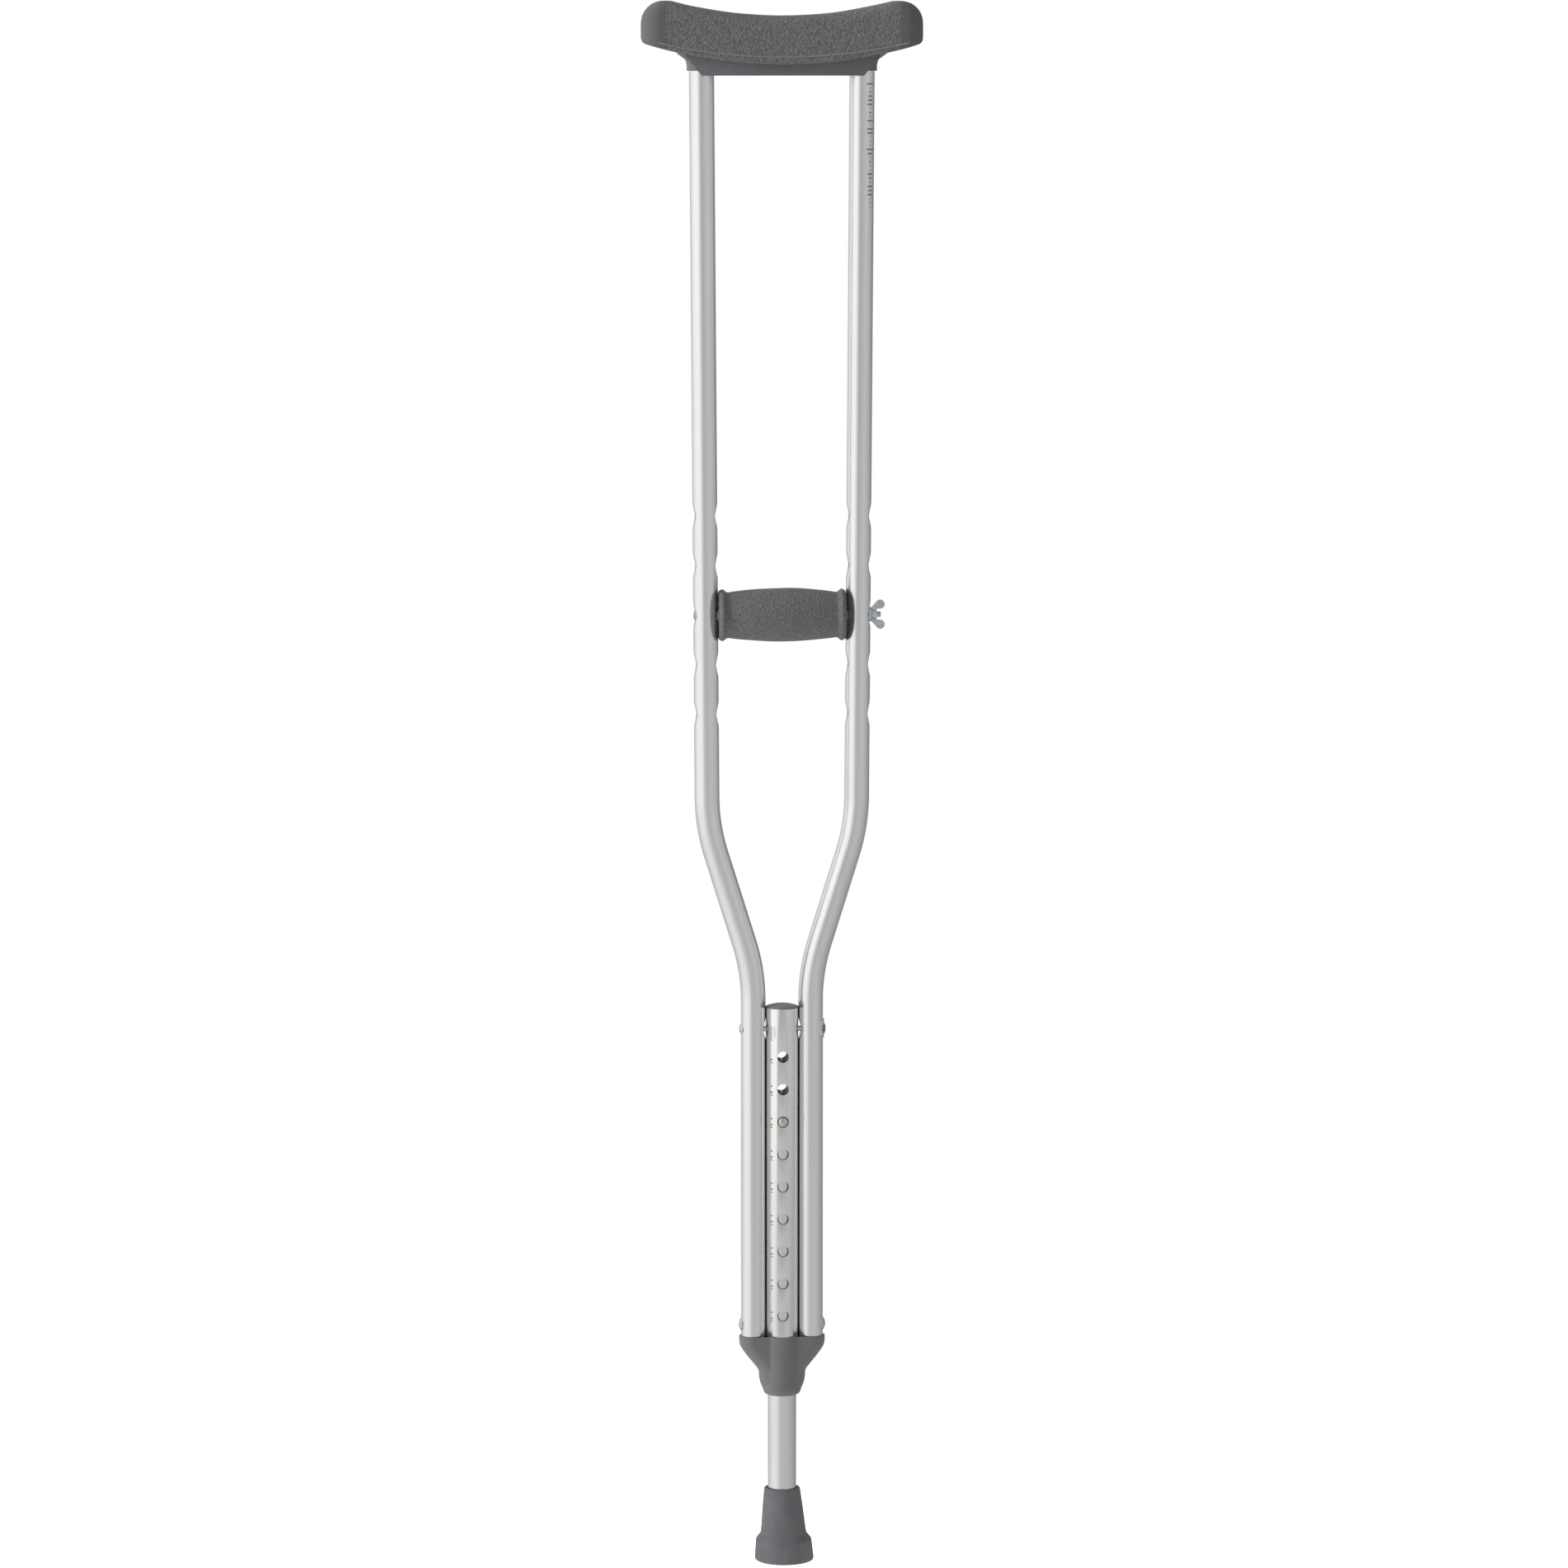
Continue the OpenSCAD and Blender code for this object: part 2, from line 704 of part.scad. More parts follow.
module crutch_tip() {
    base_r = tip_d / 2;
    foot_chamfer = 1.2;
    mouth_chamfer = 1;
    socket_r = leg_r + 0.02;
    groove_depth = 1.5;
    groove_w = 2;
    groove_pitch = 4.5;
    first_groove_r = 6;
    color(TIP_GREY) difference() {
        rotate_extrude() polygon(concat(
            [[0, 0], [base_r - foot_chamfer, 0], [base_r, foot_chamfer]],
            [for (step = tip_side) [base_r - step[0], tip_h - step[1]]],
            [
                [socket_r + mouth_chamfer / 2, tip_h], [socket_r, tip_h - mouth_chamfer],
                [socket_r, tip_floor_z], [0, tip_floor_z]
            ]
        ));
        for (i = [0 : 3]) {
            groove_r = first_groove_r + i * groove_pitch;
            translate([0, 0, -1]) ring(groove_r, groove_r - groove_w, groove_depth + 1);
        }
    }
}

// Steel disc that keeps the leg tube from cutting through the rubber
module tip_washer() {
    color(STEEL) translate([0, 0, tip_floor_z]) ring(leg_r - 0.1, 4, tip_washer_t);
}

left_upright();
right_upright();
center_tube();
center_tube_cap();
lower_collar();
upper_frame_rivet();
upper_rivet_washer();
lower_left_rivet();
lower_right_rivet();
underarm_saddle();
underarm_pad();
hand_grip();
grip_core();
grip_bolt();
grip_washer();
wing_nut();
leg_tube();
snap_spring();
front_button();
rear_button();
crutch_tip();
tip_washer();
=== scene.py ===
"""Underarm crutch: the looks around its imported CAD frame.

The frame's axes hold: +Z is up, +X goes to the wing nut's side and the camera stands at -Y.
Shapes are drawn in millimetres and turned into metres where their mesh is made.
"""

import math

import bmesh
import bpy
from mathutils import Matrix, Vector, noise


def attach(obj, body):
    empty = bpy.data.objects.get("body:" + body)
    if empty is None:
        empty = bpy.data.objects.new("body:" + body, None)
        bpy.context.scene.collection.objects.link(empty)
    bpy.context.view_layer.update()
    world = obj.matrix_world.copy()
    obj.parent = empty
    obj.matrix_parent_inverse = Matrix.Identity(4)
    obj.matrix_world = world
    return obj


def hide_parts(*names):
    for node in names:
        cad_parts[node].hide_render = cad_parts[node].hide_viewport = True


MM = 0.001

# ---------- camera: metres, degrees, and millimetres for its lens and sensor ----------

CAMERA_DISTANCE = 4.7645
CAMERA_HEIGHT = 1.1766
CAMERA_AZIMUTH = -4.18
AIM_AZIMUTH = -4.199
CAMERA_PITCH = 6.785
LENS_MM = 143.1
SENSOR_MM = 36.0

# ---------- sizes shared with the CAD part, in millimetres ----------

UPRIGHT_R = 9.525
UPRIGHT_WALL = 1.3
UPRIGHT_BOTTOM_Z = 170.0
UPRIGHT_TOP_Z = 1183.0
LOW_X = 22.225
CENTER_R = 12.7
CENTER_BOTTOM_Z = 138.0
CENTER_TOP_Z = 436.0
LOWER_CORNER_Z = 464.4
UPPER_CORNER_Z = 577.7
SLOPE = math.radians(17.36)
SPLAY = math.radians(0.35)
BEND_R = 152.4
RIVET_Z = 419.4
TOP_HOLE_Z = 398.8
HOLE_PITCH = 25.4
HOLE_COUNT = 9
HOLE_R = 4.4
GRIP_HOLE_Z = 664.3
GRIP_PITCH = 38.1
GRIP_HOLE_COUNT = 5
GRIP_HOLE = 2
GRIP_HALF = 48.7
CORE_R = 7.75
COLLAR_BOTTOM_Z = 132.0
COLLAR_TOP_Z = 178.5
LEG_R = 11.1
LEG_TRAVEL = 152.4
USED_HOLE = 3
TIP_H = 57.6
TIP_R = 23.2
PAD_HALF = 106.7


# ---------- meshes ----------


def smoothstep(t):
    """0 up to t = 0, 1 from t = 1, and an S-shaped rise between them."""
    t = min(max(t, 0.0), 1.0)
    return t * t * (3 - 2 * t)


def make_object(name, mesh, material, body, *replaced, slot, sharp=35.0):
    """Links a mesh in metres as a piece that rides on a body and stands for the CAD nodes named."""
    mesh.materials.clear()
    mesh.materials.append(material)
    mesh.shade_smooth()
    mesh.set_sharp_from_angle(angle=math.radians(sharp))
    piece = bpy.data.objects.new(name, mesh)
    bpy.context.scene.collection.objects.link(piece)
    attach(piece, body)
    if replaced:
        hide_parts(*replaced)
    return piece


def mesh_from(name, points, faces):
    """Mesh in metres from points in millimetres, with its faces turned outwards."""
    mesh = bpy.data.meshes.new(name)
    mesh.from_pydata([(x * MM, y * MM, z * MM) for x, y, z in points], [], faces)
    tidy = bmesh.new()
    tidy.from_mesh(mesh)
    bmesh.ops.remove_doubles(tidy, verts=tidy.verts, dist=1e-7)
    bmesh.ops.dissolve_degenerate(tidy, edges=tidy.edges, dist=1e-8)
    bmesh.ops.recalc_face_normals(tidy, faces=tidy.faces)
    tidy.to_mesh(mesh)
    tidy.free()
    return mesh


def loft(rings, closed=False):
    """Points and faces of a skin over rings with equal point counts.

    closed joins the last ring to the first; otherwise both ends get a flat face.
    """
    count = len(rings[0])
    points = [p for ring in rings for p in ring]
    faces = []
    last = len(rings) if closed else len(rings) - 1
    for i in range(last):
        a, b = i * count, (i + 1) % len(rings) * count
        for j in range(count):
            k = (j + 1) % count
            faces.append((a + j, a + k, b + k, b + j))
    if not closed:
        faces.append(tuple(range(count))[::-1])
        faces.append(tuple(range((len(rings) - 1) * count, len(rings) * count)))
    return points, faces


def filleted(corners, steps=6):
    """Outline through (x, y, radius) corners, each rounded to its radius.

    The first and the last corner stay sharp.
    """
    outline = [corners[0][:2]]
    for before, corner, after in zip(corners, corners[1:], corners[2:]):
        here = Vector(corner[:2])
        to_before = Vector(before[:2]) - here
        to_after = Vector(after[:2]) - here
        turn = to_before.angle(to_after, math.pi)
        if corner[2] <= 0 or turn > math.pi - 0.01 or turn < 0.01:
            outline += [tuple(here)] * (steps + 1)
            continue
        reach = min(
            corner[2] / math.tan(turn / 2), 0.49 * to_before.length, 0.49 * to_after.length
        )
        radius = reach * math.tan(turn / 2)
        middle = here + (to_before.normalized() + to_after.normalized()).normalized() * (
            radius / math.sin(turn / 2)
        )
        start = here + to_before.normalized() * reach - middle
        end = here + to_after.normalized() * reach - middle
        for i in range(steps + 1):
            outline.append(tuple(middle + start.slerp(end, i / steps) * radius))
    outline.append(corners[-1][:2])
    return outline


def lathe(outline, segments, closed=False):
    """Points and faces of (radius, height) turned around Z."""
    rings = []
    for radius, height in outline:
        ring = []
        for i in range(segments):
            a = math.tau * i / segments
            ring.append((radius * math.cos(a), radius * math.sin(a), height))
        rings.append(ring)
    return loft(rings, closed)


def moved(shape, matrix):
    """The (points, faces) shape with its points moved by a matrix."""
    points, faces = shape
    return [tuple(matrix @ Vector(p)) for p in points], faces


def joined(*shapes):
    """One (points, faces) shape out of several."""
    points, faces = [], []
    for some_points, some_faces in shapes:
        base = len(points)
        points += some_points
        faces += [tuple(i + base for i in face) for face in some_faces]
    return points, faces


ALONG_X = Matrix.Rotation(math.radians(90), 4, "Y")


def rod(radius, length, matrix, segments=48):
    """A cylinder centred on the matrix's origin, along its Z axis."""
    return moved(lathe([(radius, -length / 2), (radius, length / 2)], segments), matrix)


def cut(mesh, cutter_shape):
    """Takes the closed cutter shape out of a closed mesh."""
    cutter = bpy.data.objects.new("cutter", mesh_from("cutter", *cutter_shape))
    target = bpy.data.objects.new("target", mesh)
    for o in (cutter, target):
        bpy.context.scene.collection.objects.link(o)
    modifier = target.modifiers.new("cut", "BOOLEAN")
    modifier.operation = "DIFFERENCE"
    modifier.solver = "EXACT"
    modifier.object = cutter
    depsgraph = bpy.context.evaluated_depsgraph_get()
    result = bpy.data.meshes.new_from_object(target.evaluated_get(depsgraph))
    bpy.data.objects.remove(target)
    bpy.data.objects.remove(cutter)
    return result


def evaluated(mesh, *modifiers):
    """The mesh after modifiers given as (type, {setting: value})."""
    carrier = bpy.data.objects.new("carrier", mesh)
    bpy.context.scene.collection.objects.link(carrier)
    for kind, settings in modifiers:
        modifier = carrier.modifiers.new(kind, kind)
        for key, value in settings.items():
            setattr(modifier, key, value)
    depsgraph = bpy.context.evaluated_depsgraph_get()
    result = bpy.data.meshes.new_from_object(carrier.evaluated_get(depsgraph))
    bpy.data.objects.remove(carrier)
    return result


def roughened(mesh, size_mm, depth_mm, seed):
    """Moves each point along its normal by a smooth noise of that size and depth."""
    offset = Vector((seed, seed, seed))
    normals = [v.normal.copy() for v in mesh.vertices]
    for vertex, normal in zip(mesh.vertices, normals):
        here = vertex.co / (size_mm * MM) + offset
        vertex.co += normal * (noise.noise(here) * depth_mm * MM)
    return mesh


# ---------- materials ----------


def gray(value, tint=(1, 1, 1)):
    return tuple(value * t for t in tint)


def new_material(name, color, metallic, roughness):
    material = bpy.data.materials.new(name)
    material.use_nodes = True
    shader = material.node_tree.nodes["Principled BSDF"]
    shader.inputs["Base Color"].default_value = (*color, 1)
    shader.inputs["Metallic"].default_value = metallic
    shader.inputs["Roughness"].default_value = roughness
    return material, material.node_tree, shader


def noise_field(tree, scale, detail=3.0, stretch=(1, 1, 1), roughness=0.5):
    """Noise by object position, with scale in cells per metre."""
    nodes, links = tree.nodes, tree.links
    place = nodes.new("ShaderNodeTexCoord")
    mapping = nodes.new("ShaderNodeMapping")
    mapping.inputs["Scale"].default_value = stretch
    texture = nodes.new("ShaderNodeTexNoise")
    texture.inputs["Scale"].default_value = scale
    texture.inputs["Detail"].default_value = detail
    texture.inputs["Roughness"].default_value = roughness
    links.new(place.outputs["Object"], mapping.inputs["Vector"])
    links.new(mapping.outputs["Vector"], texture.inputs["Vector"])
    return texture.outputs["Fac"]


def ranged(tree, value, low, high, from_low=0.3, from_high=0.7):
    """Maps a value from the range from_low to from_high to the range low to high."""
    node = tree.nodes.new("ShaderNodeMapRange")
    node.inputs["From Min"].default_value = from_low
    node.inputs["From Max"].default_value = from_high
    node.inputs["To Min"].default_value = low
    node.inputs["To Max"].default_value = high
    tree.links.new(value, node.inputs["Value"])
    return node.outputs["Result"]


def math_node(tree, operation, *inputs):
    """A Math node on sockets or numbers."""
    node = tree.nodes.new("ShaderNodeMath")
    node.operation = operation
    for i, value in enumerate(inputs):
        if isinstance(value, (int, float)):
            node.inputs[i].default_value = value
        else:
            tree.links.new(value, node.inputs[i])
    return node.outputs["Value"]


def multiplied(tree, product, *others):
    """The product of sockets or numbers."""
    for value in others:
        product = math_node(tree, "MULTIPLY", product, value)
    return product


def length_of(tree, across, up):
    """Length of the line with these two sides."""
    squares = math_node(tree, "ADD", multiplied(tree, across, across), multiplied(tree, up, up))
    return math_node(tree, "SQRT", squares)


def within(tree, value, middle_mm, half_mm):
    """1 where a coordinate in metres is within half_mm of middle_mm, else 0."""
    return math_node(tree, "COMPARE", value, middle_mm * MM, half_mm * MM)


def object_position(tree):
    """The x, y and z of the point that is shaded, in metres."""
    place = tree.nodes.new("ShaderNodeTexCoord")
    split = tree.nodes.new("ShaderNodeSeparateXYZ")
    tree.links.new(place.outputs["Object"], split.inputs["Vector"])
    return split.outputs["X"], split.outputs["Y"], split.outputs["Z"]


def mottled(tree, shader, value, color_a, color_b):
    """Base colour that goes from color_a to color_b with the value."""
    node = tree.nodes.new("ShaderNodeMix")
    node.data_type = "RGBA"
    node.inputs["A"].default_value = (*color_a, 1)
    node.inputs["B"].default_value = (*color_b, 1)
    tree.links.new(value, node.inputs["Factor"])
    tree.links.new(node.outputs["Result"], shader.inputs["Base Color"])


def tinted(tree, shader, mask, color):
    """Lays a second colour over the shader's linked base colour where the mask is 1."""
    node = tree.nodes.new("ShaderNodeMix")
    node.data_type = "RGBA"
    node.inputs["B"].default_value = (*color, 1)
    tree.links.new(mask, node.inputs["Factor"])
    tree.links.new(shader.inputs["Base Color"].links[0].from_socket, node.inputs["A"])
    tree.links.new(node.outputs["Result"], shader.inputs["Base Color"])


def glossed(tree, shader, value, low, high):
    """Roughness that goes from low to high with the value."""
    tree.links.new(ranged(tree, value, low, high), shader.inputs["Roughness"])


def bumped(tree, shader, heights):
    """Chains (height, depth in mm) pairs into the shader's normal."""
    previous = None
    for height, depth_mm in heights:
        node = tree.nodes.new("ShaderNodeBump")
        node.inputs["Distance"].default_value = depth_mm * MM
        tree.links.new(height, node.inputs["Height"])
        if previous is not None:
            tree.links.new(previous, node.inputs["Normal"])
        previous = node.outputs["Normal"]
    tree.links.new(previous, shader.inputs["Normal"])


def printed_height_ticks(tree):
    """Ink mask: short plain bars beside each hole, and a plain scale and line over them."""
    bars_x, bars_half_w = -8.8, 0.9
    bars = ((2.4, 0.55), (-2.3, 0.75), (-4.6, 0.45))
    scale_z, scale_half_h, scale_pitch, tick_half_h = 416.5, 6, 1.3, 0.3
    line_x, line_half_w, line_z, line_half_h = -6.3, 0.22, 418, 4.2
    x, y, z = object_position(tree)
    lowest = TOP_HOLE_Z - HOLE_PITCH * (HOLE_COUNT - 0.5)
    step = math_node(tree, "MODULO", math_node(tree, "SUBTRACT", z, lowest * MM), HOLE_PITCH * MM)
    marks = 0.0
    for above_hole, half_h in bars:
        bar = within(tree, step, HOLE_PITCH / 2 + above_hole, half_h)
        marks = math_node(tree, "MAXIMUM", marks, bar)
    rows_z = (TOP_HOLE_Z + lowest - HOLE_PITCH / 2) / 2
    marks = multiplied(tree, marks, within(tree, z, rows_z, HOLE_PITCH * HOLE_COUNT / 2))
    ticks = within(
        tree, math_node(tree, "MODULO", z, scale_pitch * MM), scale_pitch / 2, tick_half_h
    )
    scale = multiplied(tree, ticks, within(tree, z, scale_z, scale_half_h))
    marks = math_node(tree, "MAXIMUM", marks, scale)
    marks = multiplied(tree, marks, within(tree, x, bars_x, bars_half_w))
    line = within(tree, x, line_x, line_half_w)
    line = multiplied(tree, line, within(tree, z, line_z, line_half_h))
    front = math_node(tree, "LESS_THAN", y, 0.0)
    return multiplied(tree, math_node(tree, "MAXIMUM", marks, line), front)


def printed_plain_lines(tree):
    """Ink mask: a block of plain lines of uneven length on the right upright, near its top."""
    pitch, line_z, line_half_h = 3.1, 1.5, 0.65
    shortest, longest = 0.3, 2.6
    block_x, block_z, block_half_h = 66.6, 1098, 48
    x, y, z = object_position(tree)
    row = math_node(tree, "FLOOR", math_node(tree, "DIVIDE", z, pitch * MM))
    chance = tree.nodes.new("ShaderNodeTexWhiteNoise")
    chance.noise_dimensions = "1D"
    tree.links.new(row, chance.inputs["W"])
    half_w = ranged(tree, chance.outputs["Value"], shortest * MM, longest * MM, 0.25, 1)
    line = math_node(tree, "COMPARE", x, block_x * MM, half_w)
    rows = within(tree, math_node(tree, "MODULO", z, pitch * MM), line_z, line_half_h)
    block = within(tree, z, block_z, block_half_h)
    front = math_node(tree, "LESS_THAN", y, 0.0)
    return multiplied(tree, line, rows, block, front)


def aluminium_material(name, tone, roughness, ink=None, ink_color=(0.2, 0.19, 0.18)):
    """Satin drawn tube: fine lengthwise lines, soft patches in its gloss and any printed marks."""
    material, tree, shader = new_material(name, gray(tone), 1.0, roughness)
    lines = noise_field(tree, scale=1500, detail=4, stretch=(1, 1, 0.015))
    patches = noise_field(tree, scale=40, detail=3, stretch=(1, 1, 0.3))
    shades = noise_field(tree, scale=300, detail=2, stretch=(1, 1, 0.02))
    light, dark = gray(tone + 0.02, (1, 1, 0.99)), gray(tone - 0.02)
    mottled(tree, shader, ranged(tree, shades, 0, 1), dark, light)
    glossed(tree, shader, patches, roughness * 0.95, roughness * 1.06)
    bumped(tree, shader, [(lines, 0.004)])
    if ink is not None:
        mask = ink(tree)
        tinted(tree, shader, mask, ink_color)
        tree.links.new(ranged(tree, mask, 1, 0, 0, 1), shader.inputs["Metallic"])
    return material


def metal_material(name, color_a, color_b, roughness, grain, grain_depth):
    """Plated or cast metal with a fine surface and uneven gloss."""
    material, tree, shader = new_material(name, color_a, 1.0, roughness)
    patches = noise_field(tree, scale=350, detail=4)
    surface = noise_field(tree, scale=grain, detail=4)
    mottled(tree, shader, ranged(tree, patches, 0, 1), color_a, color_b)
    glossed(tree, shader, patches, roughness * 0.75, roughness * 1.3)
    bumped(tree, shader, [(surface, grain_depth)])
    return material


def plastic_material(name, color_a, color_b, roughness, grain_depth=0.03):
    """Moulded plastic: satin, with a fine even grain and slight cloudiness."""
    material, tree, shader = new_material(name, color_a, 0.0, roughness)
    clouds = noise_field(tree, scale=60, detail=4)
    grain = noise_field(tree, scale=2200, detail=2)
    mottled(tree, shader, ranged(tree, clouds, 0, 1), color_a, color_b)
    glossed(tree, shader, clouds, roughness * 0.9, roughness * 1.12)
    bumped(tree, shader, [(grain, grain_depth)])
    return material


def painted_highlight_bead(tree, x, z):
    """Mask for a painted highlight: 1 along the pad's bead, which lies close to a circle, else 0."""
    circle_r, lowest_z, half_width, bead_half = 434.0, 1165.7, 0.75, 95
    down = math_node(tree, "SUBTRACT", z, (lowest_z + circle_r) * MM)
    line = within(tree, length_of(tree, x, down), circle_r, half_width)
    return multiplied(tree, line, within(tree, x, 0, bead_half))


def foam_material(name, color_a, color_b, smooth_from=None, smooth_to=None):
    """Moulded foam with pebble grain.

    The grain fades out from smooth_from to smooth_to, in metres from the middle. With them given, a
    painted highlight runs along the pad's bead.
    """
    material, tree, shader = new_material(name, color_a, 0.0, 0.72)
    pebbles = tree.nodes.new("ShaderNodeTexVoronoi")
    pebbles.feature = "SMOOTH_F1"
    pebbles.inputs["Scale"].default_value = 620
    pebbles.inputs["Smoothness"].default_value = 0.5
    place = tree.nodes.new("ShaderNodeTexCoord")
    tree.links.new(place.outputs["Object"], pebbles.inputs["Vector"])
    grain = pebbles.outputs["Distance"]
    clouds = noise_field(tree, scale=45, detail=4)
    pores = noise_field(tree, scale=2600, detail=2)
    tone = noise_field(tree, scale=480, detail=3)
    if smooth_from is not None:
        x, _, z = object_position(tree)
        mask = ranged(tree, math_node(tree, "ABSOLUTE", x), 1, 0, smooth_from, smooth_to)
        grain = multiplied(tree, grain, mask)
        tone = multiplied(tree, tone, mask)
    mottled(tree, shader, ranged(tree, tone, 0, 1, 0.35, 0.68), color_a, color_b)
    if smooth_from is not None:
        # Painted highlight: a lighter colour along the bead's line.
        tinted(tree, shader, painted_highlight_bead(tree, x, z), gray(0.16))
    glossed(tree, shader, clouds, 0.62, 0.8)
    bumped(tree, shader, [(grain, 0.6), (pores, 0.04)])
    return material


def rubber_material():
    """Moulded rubber, matt, with faint dust and handling marks."""
    material, tree, shader = new_material("tip_rubber", gray(0.1), 0.0, 0.62)
    dust = noise_field(tree, scale=70, detail=6, stretch=(1, 1, 0.6), roughness=0.65)
    skin = noise_field(tree, scale=1400, detail=3)
    mottled(
        tree, shader, ranged(tree, dust, 0, 1, 0.35, 0.75),
        gray(0.078, (0.97, 0.99, 1.08)), gray(0.108, (0.98, 1, 1.05)),
    )
    glossed(tree, shader, dust, 0.5, 0.72)
    bumped(tree, shader, [(skin, 0.03)])
    return material


def button_material():
    """Warm bright steel, with painted shade as a dark rim where the button passes through its hole.
    """
    painted_shade_rim_from = 3.5
    dull, bright = (0.6, 0.56, 0.51), (0.72, 0.68, 0.62)
    material = metal_material("button_steel", dull, bright, 0.12, grain=900, grain_depth=0.01)
    tree = material.node_tree
    shader = next(node for node in tree.nodes if node.type == "BSDF_PRINCIPLED")
    button_z = TOP_HOLE_Z - (USED_HOLE - 1) * HOLE_PITCH
    x, _, z = object_position(tree)
    distance = length_of(tree, x, math_node(tree, "SUBTRACT", z, button_z * MM))
    # Painted shade: the button's outer ring, down in its hole, is coloured near-black.
    rim = math_node(tree, "GREATER_THAN", distance, painted_shade_rim_from * MM)
    tinted(tree, shader, rim, (0.1, 0.09, 0.08))
    return material


# ---------- uprights ----------


def upright_stations():
    """Rows of (x, z, heading) along the right upright's middle line, from its foot up."""
    low_steps, arc_steps, high_steps = 180, 24, 420
    corner_x = LOW_X + (UPPER_CORNER_Z - LOWER_CORNER_Z) * math.tan(SLOPE)
    lower_z = LOWER_CORNER_Z - BEND_R * math.tan(SLOPE / 2)
    upper_reach = BEND_R * math.tan((SLOPE - SPLAY) / 2)
    slope_end_x = corner_x - upper_reach * math.sin(SLOPE)
    slope_end_z = UPPER_CORNER_Z - upper_reach * math.cos(SLOPE)
    straight_x = corner_x + upper_reach * math.sin(SPLAY)
    straight_z = UPPER_CORNER_Z + upper_reach * math.cos(SPLAY)
    rows = []
    for i in range(low_steps):
        rows.append((LOW_X, UPRIGHT_BOTTOM_Z + (lower_z - UPRIGHT_BOTTOM_Z) * i / low_steps, 0.0))
    for i in range(arc_steps + 1):
        a = SLOPE * i / arc_steps
        rows.append((LOW_X + BEND_R * (1 - math.cos(a)), lower_z + BEND_R * math.sin(a), a))
    axis_x = slope_end_x - BEND_R * math.cos(SLOPE)
    axis_z = slope_end_z + BEND_R * math.sin(SLOPE)
    for i in range(arc_steps + 1):
        a = SLOPE + (SPLAY - SLOPE) * i / arc_steps
        rows.append((axis_x + BEND_R * math.cos(a), axis_z - BEND_R * math.sin(a), a))
    for i in range(1, high_steps + 1):
        z = straight_z + (UPRIGHT_TOP_Z - straight_z) * i / high_steps
        rows.append((straight_x + (z - straight_z) * math.tan(SPLAY), z, SPLAY))
    return rows


def grip_hole_heights():
    return [GRIP_HOLE_Z + GRIP_PITCH * i for i in range(GRIP_HOLE_COUNT)]


def pressed(z, side):
    """How deep the upright is pressed in at height z, on its outer side (1) or its inner side (-1).

    Each seat is a narrow valley between two long soft bulges.
    """
    valley_r = 0.07
    seats = [(height, 2.15, 16.0) for height in grip_hole_heights()]
    seats.append((RIVET_Z, 0.9, 11.0) if side > 0 else (RIVET_Z, 2.5, 13.0))
    depth = 0.0
    for height, deepest, half_length in seats:
        t = math.hypot((z - height) / half_length, valley_r)
        depth = max(depth, deepest * max(1 - t, 0) ** 2 / (1 - valley_r) ** 2)
    return depth


def flattened(across, limit_depth, radius):
    """Distance across the tube, held back softly where its side is pressed in."""
    blend = 0.9
    size = abs(across)
    if limit_depth <= 0:
        return across
    share = min(limit_depth / blend, 1.0)
    limit = radius + blend - (limit_depth + blend) * share
    near = max(blend - abs(size - limit), 0.0) / blend
    return math.copysign(min(size, limit) - near * near * blend / 4, across)


def upright_skin(skin, segments=72):
    """Rings of the right upright's surface, skin millimetres inside its outer face."""
    radius = UPRIGHT_R - skin
    rings = []
    for x, z, heading in upright_stations():
        ring = []
        for j in range(segments):
            a = math.tau * (j + 0.5) / segments
            across = radius * math.cos(a)
            across = flattened(across, pressed(z, 1 if across > 0 else -1), radius)
            side_x, side_z = across * math.cos(heading), across * math.sin(heading)
            ring.append((x + side_x, radius * math.sin(a), z - side_z))
        rings.append(ring)
    return rings


def upright_x(z):
    """Where the right upright's straight upper run is at height z."""
    x, top_z, heading = upright_stations()[-1]
    return x + (z - top_z) * math.tan(heading)


def make_uprights(material, labelled):
    """Both bent tubes, with the grip bolt's holes. The left one is the right one's mirror image."""
    bolt_hole_r, through = 2.2, 40
    outer = upright_skin(0)
    inner = upright_skin(UPRIGHT_WALL)
    shape = loft(outer + inner[::-1], closed=True)
    holes = []
    for z in grip_hole_heights():
        place = Matrix.Translation((upright_x(z), 0, z)) @ ALONG_X
        holes.append(rod(bolt_hole_r, through, place))
    mesh = cut(mesh_from("right_upright", *shape), joined(*holes))
    make_object("right_tube", mesh, labelled, "frame", "right_upright", slot="satin_aluminium")
    mirrored = mesh.copy()
    mirrored.transform(Matrix.Diagonal((-1, 1, 1, 1)))
    mirrored.flip_normals()
    make_object("left_tube", mirrored, material, "frame", "left_upright", slot="satin_aluminium")


# ---------- underarm pad ----------


